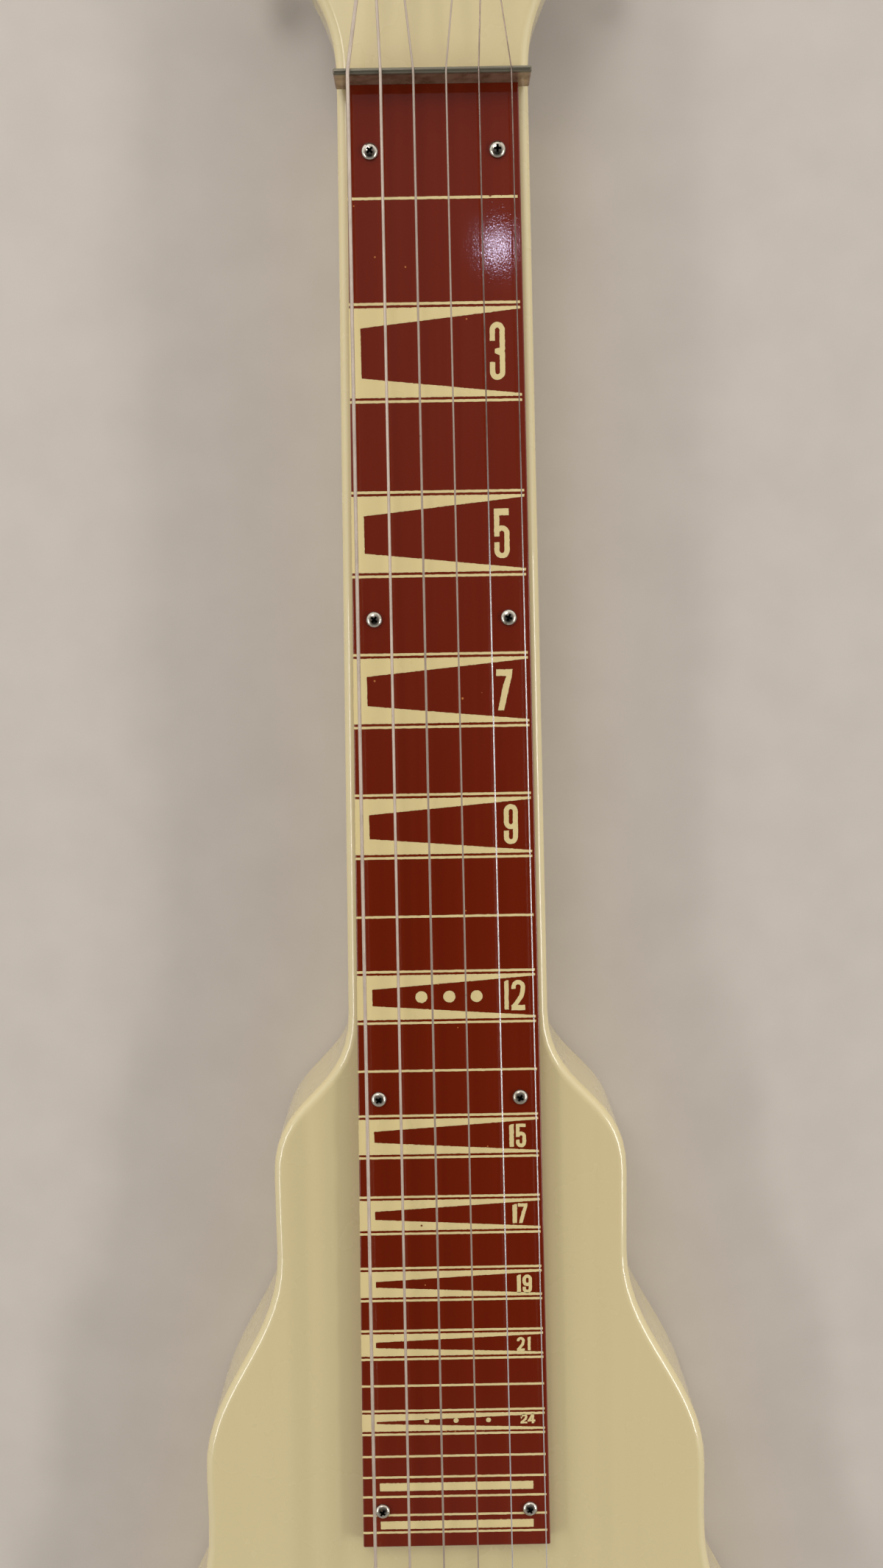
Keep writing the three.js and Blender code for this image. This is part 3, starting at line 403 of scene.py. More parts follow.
# Plain steel, painted bright down the strings and darker near the nut: painted highlight.
steel = aged_metal(
    "plain_steel", srgb(216, 213, 214), srgb(190, 186, 184), (0.16, 0.26), metallic=0.8,
    painted_band=("Y", strings_dark_above, strings_bright_below, srgb(142, 126, 116), srgb(120, 104, 94)))
wound_steel = aged_metal(
    "wound_steel", srgb(184, 169, 155), srgb(162, 147, 134), (0.4, 0.5), metallic=0.6)
brass = aged_metal("turned_brass", srgb(206, 176, 110), srgb(150, 118, 66), (0.22, 0.42))
print(nickel.name, stained_nickel_painted_reflection.name, screw_nickel.name, steel.name, wound_steel.name, brass.name)

# %% [markdown]
# The plastics differ in colour and in how much they shine. The button and knob plastic has
# yellowed towards honey in clouds, and its moulded face is slightly uneven.

# %% Plastics and small parts


def moulded(name, fresh, aged, roughness, grain=300.0, relief=0.06):
    finish = Finish(name, Specular_IOR_Level=0.45)
    finish.link("Base Color", finish.mix(finish.effect("clouds", Per_metre=70.0), fresh, aged))
    low, high = roughness
    finish.link("Roughness", finish.between(finish.effect("clouds", Per_metre=grain), low, high))
    finish.bump(relief, 0.1 * mm, finish.effect("clouds", Per_metre=4 * grain))
    return finish.material


ivory = moulded("aged_ivory_plastic", srgb(234, 222, 186), srgb(221, 200, 150), (0.22, 0.34))
black = moulded("black_plastic", srgb(26, 25, 24), srgb(40, 38, 36), (0.4, 0.55), relief=0.2)
magnet_grey = moulded("magnet_iron", srgb(84, 82, 80), srgb(60, 56, 54), (0.5, 0.7), relief=0.4)
dipped_brown = moulded("dipped_brown", srgb(140, 84, 40), srgb(112, 62, 30), (0.25, 0.4))
print(ivory.name, black.name, magnet_grey.name, dipped_brown.name)

# %% [markdown]
# A shape here is a pair of lists: points and faces. Small functions make the basic shapes, and
# shapes can be moved, joined and turned into a piece that rides on a body.

# %% Shapes


def moved(shape, matrix):
    points, faces = shape
    return [matrix @ point for point in points], faces


def joined(*shapes):
    points, faces = [], []
    for more_points, more_faces in shapes:
        start = len(points)
        points.extend(more_points)
        faces.extend(tuple(start + index for index in face) for face in more_faces)
    return points, faces


def skinned(rings, closed_ends=True, ring_loop=False):
    """Quads between rings of equally many points; flat ends, or the last ring meets the first."""
    sides = len(rings[0])
    points = [point for ring in rings for point in ring]
    faces = []
    count = len(rings)
    for i in range(count if ring_loop else count - 1):
        for j in range(sides):
            a, b = i * sides + j, i * sides + (j + 1) % sides
            c, d = (a + sides) % len(points), (b + sides) % len(points)
            faces.append((a, b, d, c))
    if closed_ends and not ring_loop:
        faces.append(tuple(reversed(range(sides))))
        faces.append(tuple(range(len(points) - sides, len(points))))
    return points, faces


def round_angles(count):
    return [2 * math.pi * k / count for k in range(count)]


def turned(profile, sides=32):
    """A solid of revolution about Z from (radius, level) pairs; it closes on the axis or on itself."""
    on_axis = profile[0][0] == 0 and profile[-1][0] == 0
    rows = profile[1:-1] if on_axis else profile
    rings = []
    for radius, level in rows:
        rings.append([
            Vector((radius * math.cos(angle), radius * math.sin(angle), level))
            for angle in round_angles(sides)
        ])
    points, faces = skinned(rings, closed_ends=False, ring_loop=not on_axis)
    if on_axis:
        for ring, (_, level) in ((0, profile[0]), (len(rings) - 1, profile[-1])):
            points.append(Vector((0, 0, level)))
            tip = len(points) - 1
            faces.extend(
                (ring * sides + (k + 1) % sides, ring * sides + k, tip) for k in range(sides))
    return points, faces


def inset(outline, distance):
    """A closed anticlockwise outline, moved inwards by a distance."""
    result = []
    count = len(outline)
    for i, here in enumerate(outline):
        before = (here - outline[i - 1]).normalized()
        after = (outline[(i + 1) % count] - here).normalized()
        inward = Vector((-before.y - after.y, before.x + after.x)).normalized()
        reach = max(0.5, inward.dot(Vector((-before.y, before.x))))
        result.append(here + inward * distance / reach)
    return result


def slab(outline, low, high, round_low=0.0, round_high=0.0, steps=4):
    """An upright prism on an outline, with rounded lower and upper edges."""
    rings = []
    for radius, sign, level in ((round_low, 1, low), (round_high, -1, high)):
        for k in range(steps + 1 if radius else 1):
            angle = math.pi / 2 * (k / steps)
            leaving = (1 - math.sin(angle), 1 - math.cos(angle))
            distance, rise = leaving if sign > 0 else reversed(leaving)
            rings.append((radius * distance, level + sign * radius * rise))
    return skinned([
        [Vector((point.x, point.y, level)) for point in inset(outline, distance)]
        for distance, level in rings
    ])


def rounded_rectangle(centre, half_x, half_y, corner, steps=6):
    outline = []
    for sign_x, sign_y, start in ((1, -1, -90), (1, 1, 0), (-1, 1, 90), (-1, -1, 180)):
        for k in range(steps + 1):
            angle = math.radians(start + 90 * k / steps)
            outline.append(Vector((
                centre[0] + sign_x * (half_x - corner) + corner * math.cos(angle),
                centre[1] + sign_y * (half_y - corner) + corner * math.sin(angle),
            )))
    return outline


def cut_corner(start, corner, end):
    """Points on the short curve that replaces a corner."""
    return [
        start * (1 - t) ** 2 + corner * 2 * t * (1 - t) + end * t * t
        for t in (0, 0.25, 0.5, 0.75, 1)
    ]


def through(path):
    """Each point of a path, with the way out of it and the middle way through it."""
    for i, here in enumerate(path):
        before = (here - path[i - 1]).normalized() if i else None
        after = (path[i + 1] - here).normalized() if i + 1 < len(path) else None
        out = after or before
        yield here, out, ((before or after) + out).normalized()


def cylinder(radius, low, high, sides=32):
    return turned([(0, low), (radius, low), (radius, high), (0, high)], sides)


def standing(place_xy, shape):
    """A shape about Z, moved to stand over a point."""
    return moved(shape, Matrix.Translation((place_xy[0], place_xy[1], 0)))


def lying(start, direction, shape):
    """A shape about Z, laid so that Z runs along a direction from a point."""
    turn = Vector(direction).to_track_quat("Z", "Y").to_matrix().to_4x4()
    return moved(shape, Matrix.Translation(start) @ turn)


print("shapes ready")

# %% [markdown]
# A piece is a mesh object with its place in its points. Its doubles are merged and its normals
# point outwards. Edges under a chosen angle look smooth, and flat faces keep their flatness.

# %% Pieces
smooth_under = math.radians(38)
merge_under = 0.002 * mm


def new_mesh(name, shape):
    mesh = bpy.data.meshes.new(name)
    mesh.from_pydata([tuple(point) for point in shape[0]], [], shape[1])
    work = bmesh.new()
    work.from_mesh(mesh)
    bmesh.ops.remove_doubles(work, verts=work.verts, dist=merge_under)
    bmesh.ops.recalc_face_normals(work, faces=work.faces)
    work.to_mesh(mesh)
    work.free()
    return mesh


def new_object(name, shape):
    thing = bpy.data.objects.new(name, new_mesh(name, shape))
    scene.collection.objects.link(thing)
    return thing


def settled(thing):
    """Turns what the modifiers make into the object's own mesh, and removes them."""
    evaluated = thing.evaluated_get(bpy.context.evaluated_depsgraph_get())
    mesh = bpy.data.meshes.new_from_object(evaluated)
    thing.modifiers.clear()
    thing.data = mesh
    return thing


def carved(thing, cutters, operation="DIFFERENCE"):
    """Cuts shapes out of an object, or adds them to it, one after the other."""
    helpers = [new_object("cutter", cutter) for cutter in cutters]
    for helper in helpers:
        modifier = thing.modifiers.new("carve", "BOOLEAN")
        modifier.operation = operation
        modifier.solver = "EXACT"
        modifier.object = helper
    settled(thing)
    for helper in helpers:
        bpy.data.objects.remove(helper)
    return thing


def finished(thing, material, body="guitar", replaces=()):
    """Shades the piece, gives it its material and lets it ride on a body."""
    mesh = thing.data
    mesh.materials.clear()
    mesh.materials.append(material)
    mesh.shade_smooth()
    mesh.set_sharp_from_angle(angle=smooth_under)
    weighted = thing.modifiers.new("even shading", "WEIGHTED_NORMAL")
    weighted.keep_sharp = True
    settled(thing)
    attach(thing, body)
    if replaces:
        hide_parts(*replaces)
    return thing


def dressed(name, *materials):
    """A CAD node whose shape is right keeps its mesh and takes a material."""
    mesh = nodes[name].data
    mesh.materials.clear()
    for material in materials:
        mesh.materials.append(material)


print("pieces ready")

# %% [markdown]
# Places along the strings are measured from the nut's face, as a maker does. The nut and the bridge
# are bent angles, and the strings cross over the middle of their upright walls.

# %% Places
wall = 1.8 * mm
nut_low, nut_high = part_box("nut")
bridge_low, bridge_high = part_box("bridge")
board_low, board_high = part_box("fretboard")
body_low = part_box("body")[0]
deck = board_low.z
board_top = board_high.z
nut_y = nut_low.y
nut_middle = nut_y + wall / 2
bridge_y = bridge_high.y - wall / 2
scale_length = nut_y - bridge_y
board_length = nut_y - board_low.y
board_half_at_end = board_high.x
board_half_at_nut = 25.4 * mm


def along(distance):
    """The place of a distance from the nut, towards the tail."""
    return nut_y - distance


def board_half(distance):
    return board_half_at_nut + (board_half_at_end - board_half_at_nut) * distance / board_length


def fret(number):
    """Where a note's line lies: each step shortens the string by the twelfth root of two."""
    return scale_length * (1 - 2 ** (-number / 12))


print("scale length", round(scale_length / mm, 1), "mm, twelfth fret at", round(fret(12) / mm, 1))

# %% [markdown]
# The body is one board with three steps on each side, softly rounded over all its edges. The
# headstock is thinned from below with a curved heel. Both sides have the same rule for their half
# width, so the mesh is a ladder: each rung joins two points at the same place along the guitar.

# %% Body
edge_round = 3.2 * mm
neck_margin = 3.4 * mm
tail_corner = 34 * mm
head_half = 40 * mm
head_thickness = 17 * mm
head_length = 150 * mm
head_shift = -0.8 * mm
flare_start, flare_end = -5 * mm, -52 * mm
crest_start, crest_end, crest_half = -116 * mm, -141 * mm, 26 * mm
heel_start = -2 * mm
heel_length = 24 * mm
tail_end = nut_y - body_low.y


def eased(start, end, share, steps=14):
    """Points (distance, half width, shift) on a smooth step between two given ones."""
    (d0, w0, x0), (d3, w3, x3) = start, end
    reach = (d0 - d3) * share
    points = []
    for k in range(1, steps + 1):
        t = k / steps
        weights = ((1 - t) ** 3, 3 * t * (1 - t) ** 2, 3 * t * t * (1 - t), t ** 3)
        distance = sum(w * d for w, d in zip(weights, (d0, d0 - reach, d3 + reach, d3)))
        half = (weights[0] + weights[1]) * w0 + (weights[2] + weights[3]) * w3
        shift = (weights[0] + weights[1]) * x0 + (weights[2] + weights[3]) * x3
        points.append((distance, half, shift))
    return points


def body_edge():
    """The side of the body from the tail corner to the tip of the headstock."""
    # where each step ends and starts, its half width, and how softly it begins
    third = (scale_length - 15.5 * mm, scale_length - 107.5 * mm, 110 * mm, 0.5)
    second = (scale_length - 125.5 * mm, scale_length - 203.5 * mm, 85.8 * mm, 0.39)
    first = (scale_length - 231.5 * mm, scale_length - 287.5 * mm, 58.9 * mm, 0.52)
    neck_half = board_half(first[1]) + neck_margin
    nut_half = board_half(0) + neck_margin
    edge = []
    for k in range(13):
        angle = math.radians(90 * k / 12)
        edge.append((
            tail_end - tail_corner * (1 - math.cos(angle)),
            third[2] - tail_corner * (1 - math.sin(angle)),
            0,
        ))
    for (end, start, half, share), narrow in (
            (third, second[2]), (second, first[2]), (first, neck_half)):
        edge.append((end, half, 0))
        edge.extend(eased((end, half, 0), (start, narrow, 0), share))
    for k in range(6, -1, -1):
        distance = first[1] * k / 7
        edge.append((distance, nut_half + (neck_half - nut_half) * distance / first[1], 0))
    for k in range(6):
        edge.append((heel_start - 3 * mm * (k / 6) ** 2, nut_half, 0))
    edge.append((flare_start, nut_half, 0))
    edge.extend(eased((flare_start, nut_half, 0), (flare_end, head_half, head_shift), 0.5, steps=30))
    edge.append((crest_start, head_half, head_shift))
    edge.extend(eased((crest_start, head_half, head_shift), (crest_end, crest_half, head_shift), 0.5))
    for k in range(1, 13):
        angle = math.radians(90 * k / 12)
        tip = crest_end - (head_length + crest_end) * math.sin(angle)
        edge.append((tip, crest_half * math.cos(angle), head_shift))
    return edge


def underside(distance):
    """The level of the back: flat under the body, a hollow curve up to the headstock."""
    if distance >= heel_start:
        return 0
    turn = min(1, (heel_start - distance) / heel_length)
    return (deck - head_thickness) * math.sqrt(1 - (1 - turn) ** 2)


def ladder(ring, rungs, flip):
    """Flat faces between the two sides of one ring, from the tail to the tip."""
    last = 2 * rungs
    faces = [(i, i + 1, last - i - 1, last - i) for i in range(rungs - 1)]
    faces.append((rungs - 1, rungs, rungs + 1))
    return [tuple(ring + index for index in (reversed(face) if flip else face)) for face in faces]


def body_shape():
    edge = body_edge()
    rungs = len(edge) - 1
    right = [Vector((half + shift, along(distance))) for distance, half, shift in edge]
    left = [Vector((shift - half, along(distance))) for distance, half, shift in edge[:-1]]
    outline = right + left[::-1]
    backs = [underside(distance) for distance, _, _ in edge]
    backs += backs[:-1][::-1]
    rings = []
    steps = 6
    for k in range(steps + 1):
        angle = math.pi / 2 * k / steps
        ring = inset(outline, edge_round * (1 - math.sin(angle)))
        lift = edge_round * (1 - math.cos(angle))
        rings.append([Vector((p.x, p.y, back + lift)) for p, back in zip(ring, backs)])
    for k in range(steps + 1):
        angle = math.pi / 2 * k / steps
        ring = inset(outline, edge_round * (1 - math.cos(angle)))
        level = deck - edge_round * (1 - math.sin(angle))
        rings.append([Vector((p.x, p.y, level)) for p in ring])
    points, faces = skinned(rings, closed_ends=False)
    faces += ladder(0, rungs, flip=True)
    faces += ladder(len(points) - len(outline), rungs, flip=False)
    return points, faces


def middle_of(name):
    low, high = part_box(name)
    return (low + high) / 2


# Rounder than the cover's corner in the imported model, so that its recess keeps clear of the side.
plate_corner = 20 * mm


def body_cutters():
    """The holes that the fittings need, each from the fitting's own box."""
    clear, beyond = 0.3 * mm, 4 * mm
    rout_half_x, rout_half_y, rout_corner = 37.5 * mm, 11 * mm, 2.8 * mm
    pot_hole, jack_recess, jack_hole = 4.7 * mm, 12 * mm, 5.2 * mm
    bushing_hole, bushing_depth, post_hole = 4.8 * mm, 8.3 * mm, 3.45 * mm
    middle = middle_of("pickup_cover")
    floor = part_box("pickup_magnet")[0].z - clear
    rout = rounded_rectangle(middle, rout_half_x, rout_half_y, rout_corner)
    cutters = [slab(rout, floor, deck + beyond)]
    low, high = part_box("control_cover")
    middle, half = (low + high) / 2, (high - low) / 2
    ledge = 5 * mm
    pot_top = deck - 7 * mm
    recess = rounded_rectangle(middle, half.x + clear, half.y + clear, plate_corner + clear)
    cavity = rounded_rectangle(
        middle, half.x + clear - ledge, half.y + clear - ledge, plate_corner + clear - ledge)
    cutters += [slab(recess, -beyond, high.z), slab(cavity, -beyond / 2, pot_top)]
    for name in ("volume_pot", "tone_pot"):
        cutters.append(standing(middle_of(name), cylinder(pot_hole, pot_top - beyond, deck + beyond)))
    low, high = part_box("jack_plate")
    middle = (low + high) / 2
    start = Vector((low.x, middle.y, middle.z))
    cutters.append(lying(start, (1, 0, 0), cylinder(jack_recess, 0, 2 * beyond, 48)))
    cutters.append(lying(start, (1, 0, 0), cylinder(jack_hole, -2 * beyond - clear, beyond)))
    for number in range(1, 7):
        middle = middle_of(f"bushing_{number}")
        cutters.append(standing(middle, cylinder(bushing_hole, deck - bushing_depth, deck + beyond)))
        cutters.append(standing(middle, cylinder(post_hole, deck - head_thickness - beyond, deck)))
    return cutters


body_piece = carved(new_object("body_shell", body_shape()), body_cutters())
finished(body_piece, lacquer, replaces=["body"])
print("body:", len(body_piece.data.polygons), "faces")

# %% [markdown]
# The fretboard plate has its edge broken with a file, and its corners are a little round.

# %% Fretboard


def fretboard_shape():
    corner, edge, under_nut = 0.6 * mm, 0.5 * mm, 0.3 * mm
    start, end = nut_y + under_nut, board_low.y
    wide, narrow = board_half_at_end, board_half(nut_y - start)
    corners = [Vector((x, y)) for x, y in (
        (-wide, end), (wide, end), (narrow, start), (-narrow, start))]
    outline = []
    for i, point in enumerate(corners):
        before, after = corners[i - 1], corners[(i + 1) % 4]
        outline += cut_corner(
            point + (before - point).normalized() * corner,
            point,
            point + (after - point).normalized() * corner)
    return slab(outline, deck, board_top, 0, edge, steps=3)


finished(new_object("fretboard_plate", fretboard_shape()), maroon,
         replaces=["fretboard"])
print("fretboard:", round(board_length / mm), "mm long")

# %% [markdown]
# The fret lines are printed. Geometry Nodes can follow the rule that spaces them: one point per
# line, moved to its place by its index, then a thin bar on each point that is as wide as the board.
# All such trees end alike: the copies become one real mesh, and the mesh gets its material.

# %% Fret lines
print_height = 0.05 * mm
print_sunk = 0.03 * mm


def coated(tree, shape, given, result):
    """Ends a Geometry Nodes tree with a real mesh that has the given material."""
    real = place(tree, "GeometryNodeRealizeInstances", {"Geometry": shape})
    coat = place(tree, "GeometryNodeSetMaterial", {"Geometry": real, "Material": given["Material"]})
    feed(tree, result["Geometry"], coat)
    return tree


def fret_lines_tree():
    tree, given, result = new_group("equal tempered lines", {
        "Geometry": "Geometry",
        "Lines": 29,
        "Scale length": 0.5,
        "Line width": 0.001,
        "Height": 0.0001,
        "Nut place": "Vector",
        "Width at nut": 0.05,
        "Widening": 0.03,
        "Shift": 0.0,
        "Raggedness": 0.0001,
        "Material": "Material",
    }, {"Geometry": "Geometry"}, kind="GeometryNodeTree")
    points = place(tree, "GeometryNodeMeshLine", {"Count": given["Lines"]}, mode="OFFSET")
    number = math_node(tree, "ADD", place(tree, "GeometryNodeInputIndex").outputs[0], 1.0)
    octaves = math_node(tree, "DIVIDE", number, -12.0)
    left_over = math_node(tree, "POWER", 2.0, octaves)
    share = math_node(tree, "SUBTRACT", 1.0, left_over)
    distance = math_node(tree, "MULTIPLY", share, given["Scale length"])
    towards_tail = math_node(tree, "MULTIPLY", distance, -1.0)
    offset = place(tree, "ShaderNodeCombineXYZ", {"X": given["Shift"], "Y": towards_tail})
    spot = place(tree, "ShaderNodeVectorMath", {0: given["Nut place"], 1: offset}, operation="ADD")
    set_out = place(tree, "GeometryNodeSetPosition", {"Geometry": points, "Position": spot})
    wider = math_node(tree, "MULTIPLY", distance, given["Widening"])
    width = math_node(tree, "ADD", wider, given["Width at nut"])
    size = place(tree, "ShaderNodeCombineXYZ", {
        "X": width, "Y": given["Line width"], "Z": given["Height"]})
    bar = place(tree, "GeometryNodeMeshCube", {"Size": (1, 1, 1), "Vertices X": 90})
    bars = place(tree, "GeometryNodeInstanceOnPoints", {
        "Points": set_out, "Instance": bar, "Scale": size})
    real = place(tree, "GeometryNodeRealizeInstances", {"Geometry": bars})
    noise = place(tree, "ShaderNodeTexNoise", {"Scale": 900.0, "Detail": 2.0})
    centred = math_node(tree, "SUBTRACT", noise.outputs["Fac"], 0.5)
    rough = math_node(tree, "MULTIPLY", centred, given["Raggedness"])
    shift = place(tree, "ShaderNodeCombineXYZ", {"Y": rough})
    ragged = place(tree, "GeometryNodeSetPosition", {"Geometry": real, "Offset": shift})
    return coated(tree, ragged, given, result)


def grown(name, tree, values, source=None):
    """Runs a Geometry Nodes tree on an object and keeps the mesh that it makes."""
    thing = source or new_object(name, ([], []))
    modifier = thing.modifiers.new("grow", "NODES")
    modifier.node_group = tree
    for item in tree.interface.items_tree:
        if item.in_out == "INPUT" and item.name in values:
            modifier[item.identifier] = values[item.name]
    return settled(thing)


right_gap = 1.0 * mm
widening = 2 * (board_half_at_end - board_half_at_nut) / board_length
fret_lines = grown("fret_lines", fret_lines_tree(), {
    "Lines": 29,
    "Scale length": scale_length,
    "Line width": 0.76 * mm,
    "Height": print_height + print_sunk,
    "Nut place": (0, nut_y, board_top + (print_height - print_sunk) / 2),
    "Width at nut": 2 * board_half_at_nut - right_gap,
    "Widening": widening,
    "Shift": -right_gap / 2,
    "Raggedness": 0.3 * mm,
    "Material": ink,
})
finished(fret_lines, ink)
print("fret lines:", len(fret_lines.data.polygons), "faces")

# %% [markdown]
# The position markers are wedges in the fret spaces: a cream block with a dark trapezoid left open
# in it. They are drawn as one outline each, and a seeded shake gives the edge of screen print.

# %% Position markers
rng = random.Random(7)
shake = 0.035 * mm
shake_step = 0.5 * mm
line_clearance = 1.15 * mm
wedge_tip = 0.75 * mm
wedges = {
    # fret space: the strip's edge from the middle, the wedge's depth, both in millimetres
    3: (23.0, 5.8), 5: (23.3, 5.9), 7: (23.6, 5.6), 9: (23.95, 5.1), 12: (24.3, 4.6),
    15: (24.8, 4.1), 17: (25.15, 3.8), 19: (25.45, 3.5), 21: (25.95, 2.9), 24: (26.3, 2.7),
}


def ragged(outline):
    """The outline with points every half millimetre, each shaken a little."""
    result = []
    for i, here in enumerate(outline):
        after = outline[(i + 1) % len(outline)]
        pieces = max(1, round((after - here).length / shake_step))
        for k in range(pieces):
            point = here.lerp(after, k / pieces)
            result.append(point + Vector((rng.gauss(0, shake), rng.gauss(0, shake))))
    return result


def printed(outline):
    """A thin layer of ink on the board."""
    return slab(ragged(outline), board_top - print_sunk, board_top + print_height)


def marker(number):
    near, far = fret(number - 1) + line_clearance, fret(number) - line_clearance
    strip_edge, depth = (size * mm for size in wedges[number])
    right_near, right_far = board_half(near) - right_gap, board_half(far) - right_gap
    return printed([Vector((x, along(distance))) for x, distance in (
        (-board_half(near), near), (-board_half(far), far),
        (right_far, far), (right_far, far - wedge_tip),
        (-strip_edge, far - depth), (-strip_edge, near + depth),
        (right_near, near + wedge_tip), (right_near, near),
    )])


finished(new_object("position_markers", joined(*[marker(number) for number in wedges])), ink)
print("markers in", len(wedges), "fret spaces")

# %% [markdown]
# Dots stand in the octave spaces, and two bars close the board.

# %% Dots and bars


def dot(x, distance, radius):
    count = max(24, round(2 * math.pi * radius / shake_step))
    centre = Vector((x, along(distance)))
    return printed([
        centre + Vector((math.cos(a), math.sin(a))) * radius for a in round_angles(count)])


dots = [
    dot(x * mm, distance * mm, radius * mm)
    for distance, radius, places in ((277.2, 1.94, (-8.5, 0.5, 9.3)), (423.9, 0.84, (-9.5, 0.4, 11.3)))
    for x in places
]
bars = [
    printed(rounded_rectangle((0.2 * mm, along(distance * mm)), 26 * mm, 1.45 * mm, 0.3 * mm))
    for distance in (447.8, 461.8)
]
finished(new_object("marker_dots", joined(*dots)), ink)
finished(new_object("end_bars", joined(*bars)), ink)
print(len(dots), "dots and", len(bars), "bars")

# %% [markdown]
# The numerals are tall condensed figures, drawn in boxes that shrink with the fret spaces. Bowls
# and hooks are strokes of even width along a path, the rest are plain polygons, and the parts of a
# figure are joined to one layer of ink.

# %% Numerals


def arc(centre, radii, start, end, steps=14):
    """Points on an ellipse between two angles in degrees."""
    return [
        Vector((
            centre[0] + radii[0] * math.cos(math.radians(start + (end - start) * k / steps)),
            centre[1] + radii[1] * math.sin(math.radians(start + (end - start) * k / steps)),
        ))
        for k in range(steps + 1)
    ]


def ribbon(path, stroke):
    """The outline of a stroke of even width along a path."""
    sides = ([], [])
    for here, out, forward in through(path):
        across = Vector((-forward.y, forward.x))
        reach = stroke / 2 / max(0.45, across.dot(Vector((-out.y, out.x))))
        sides[0].append(here - across * reach)
        sides[1].append(here + across * reach)
    return sides[0] + sides[1][::-1]


def figure_outlines(figure, width, height, stroke):
    """The closed outlines that make a figure, in a box with its lower left corner at zero."""
    r = stroke / 2
    left, right, middle = r, width - r, width / 2
    bend = (middle - r, min(height / 5, 1.05 * (middle - r)))
    high, low = height - r - bend[1], r + bend[1]

    def v(x, share):
        return Vector((x, share * height))

    def bar(x0, x1, share0, share1):
        return [v(x0, share0), v(x1, share0), v(x1, share1), v(x0, share1)]

    def over(start, end):
        return arc((middle, high), bend, start, end)

    def hook(share):
        return arc((middle, low), bend, 0, -180) + [v(left, share)]

    if figure == "1":
        return [[
            v(0.06 * width, 0), v(width, 0), v(width, 1), v(0.55 * width, 1), v(0, 0.94), v(0, 0.9)]]
    if figure == "2":
        turn = [v(right, 0.66), v(0.72 * width, 0.46), v(left + 0.1 * r, 0.12)]
        return [ribbon([v(left, 0.71)] + over(180, 0) + turn, stroke), bar(0, width, 0, 0.17)]
    if figure == "3":
        nib = [v(0.34 * width, 0.466), v(0.6 * width, 0.43), v(right, 0.43), v(right, 0.56),
               v(0.6 * width, 0.556), v(0.34 * width, 0.539)]
        upper = [v(left, 0.677)] + over(180, 0) + [v(right, 0.54), v(right - 0.35 * r, 0.49)]
        lower = [v(right - 0.35 * r, 0.51), v(right, 0.46)] + hook(0.31)
        return [ribbon(upper, stroke), ribbon(lower, stroke), nib]
    if figure == "4":
        stem = 0.52 * width
        return [ribbon([v(stem + r, 0.96), v(0.9 * r, 0.26)], stroke), bar(0, width, 0.18, 0.36),
                bar(stem, stem + stroke, 0, 1)]
    if figure == "5":
        crown = arc((middle, 0.662 * height - r - bend[1]), bend, 140, 0)
        return [bar(0, stroke, 0.442, 1), bar(0, 0.96 * width, 0.865, 1),
                ribbon(crown + hook(0.324), stroke)]
    if figure == "7":
        return [[
            v(0.09 * width, 0), v(0.46 * width, 0), v(0.78 * width, 0.56), v(0.97 * width, 0.85),
            v(width, 1), v(0, 1), v(0, 0.84), v(0.62 * width, 0.84), v(0.4 * width, 0.58)]]
    if figure == "9":
        bowl = arc((middle, 0.378 * height + r + bend[1]), bend, 180, 330)
        stem = [Vector((right, high))] + hook(0.342)
        return [ribbon(over(0, 180) + bowl, stroke), ribbon(stem, stroke)]
    raise ValueError(figure)


def figure_object(figure, x, distance, width, height, stroke):
    corner = Matrix.Translation((x * mm, along(distance * mm) - height * mm, 0))
    outlines = figure_outlines(figure, width * mm, height * mm, stroke * mm)
    shapes = [moved(printed(outline), corner) for outline in outlines]
    thing = new_object("figure", shapes[0])
    return carved(thing, shapes[1:], operation="UNION") if len(shapes) > 1 else thing


numerals = [
    # figure, left edge, top edge from the nut, width, height, stroke, all in millimetres
    ("3", 16.0, 68.1, 4.6, 16.9, 1.6),
    ("5", 16.7, 123.3, 4.7, 15.1, 1.6),
    ("7", 16.8, 172.5, 5.1, 12.8, 1.6),
    ("9", 18.7, 215.0, 4.4, 12.8, 1.55),
    ("1", 18.2, 272.1, 1.4, 9.7, 1.4),
    ("2", 20.5, 272.1, 4.4, 10.0, 1.4),
    ("1", 19.3, 320.4, 1.5, 7.7, 1.5),
    ("5", 21.5, 320.3, 3.3, 8.0, 1.2),
    ("1", 20.1, 347.8, 1.5, 6.6, 1.5),
    ("7", 21.9, 347.6, 3.2, 6.8, 1.25),
    ("1", 21.3, 372.4, 1.35, 6.3, 1.35),
    ("9", 23.2, 372.4, 3.1, 6.5, 1.1),
    ("2", 21.1, 394.4, 2.6, 5.0, 0.9),
    ("1", 24.7, 394.4, 1.0, 4.8, 1.0),
    ("2", 22.0, 422.0, 2.4, 3.4, 0.75),
    ("4", 24.5, 421.9, 2.6, 3.5, 0.75),
]


def merged(name, things):
    """Several objects as one."""
    work = bmesh.new()
    for thing in things:
        work.from_mesh(thing.data)
        bpy.data.objects.remove(thing)
    mesh = bpy.data.meshes.new(name)
    work.to_mesh(mesh)
    work.free()
    whole = bpy.data.objects.new(name, mesh)
    scene.collection.objects.link(whole)
    return whole


finished(merged("marker_numerals", [figure_object(*row) for row in numerals]), ink)
print(len(numerals), "figures")

# %% [markdown]
# All the screws have domed heads with a cross recess. One head is modelled, and Geometry Nodes put
# copies of it on points, each turned by a seeded random angle, as screws stop where they stop. The
# faces of the recess carry an attribute, which the material reads to paint them almost black: painted
# shade in the cross.

# %% Screws
head_radius = 2.5 * mm


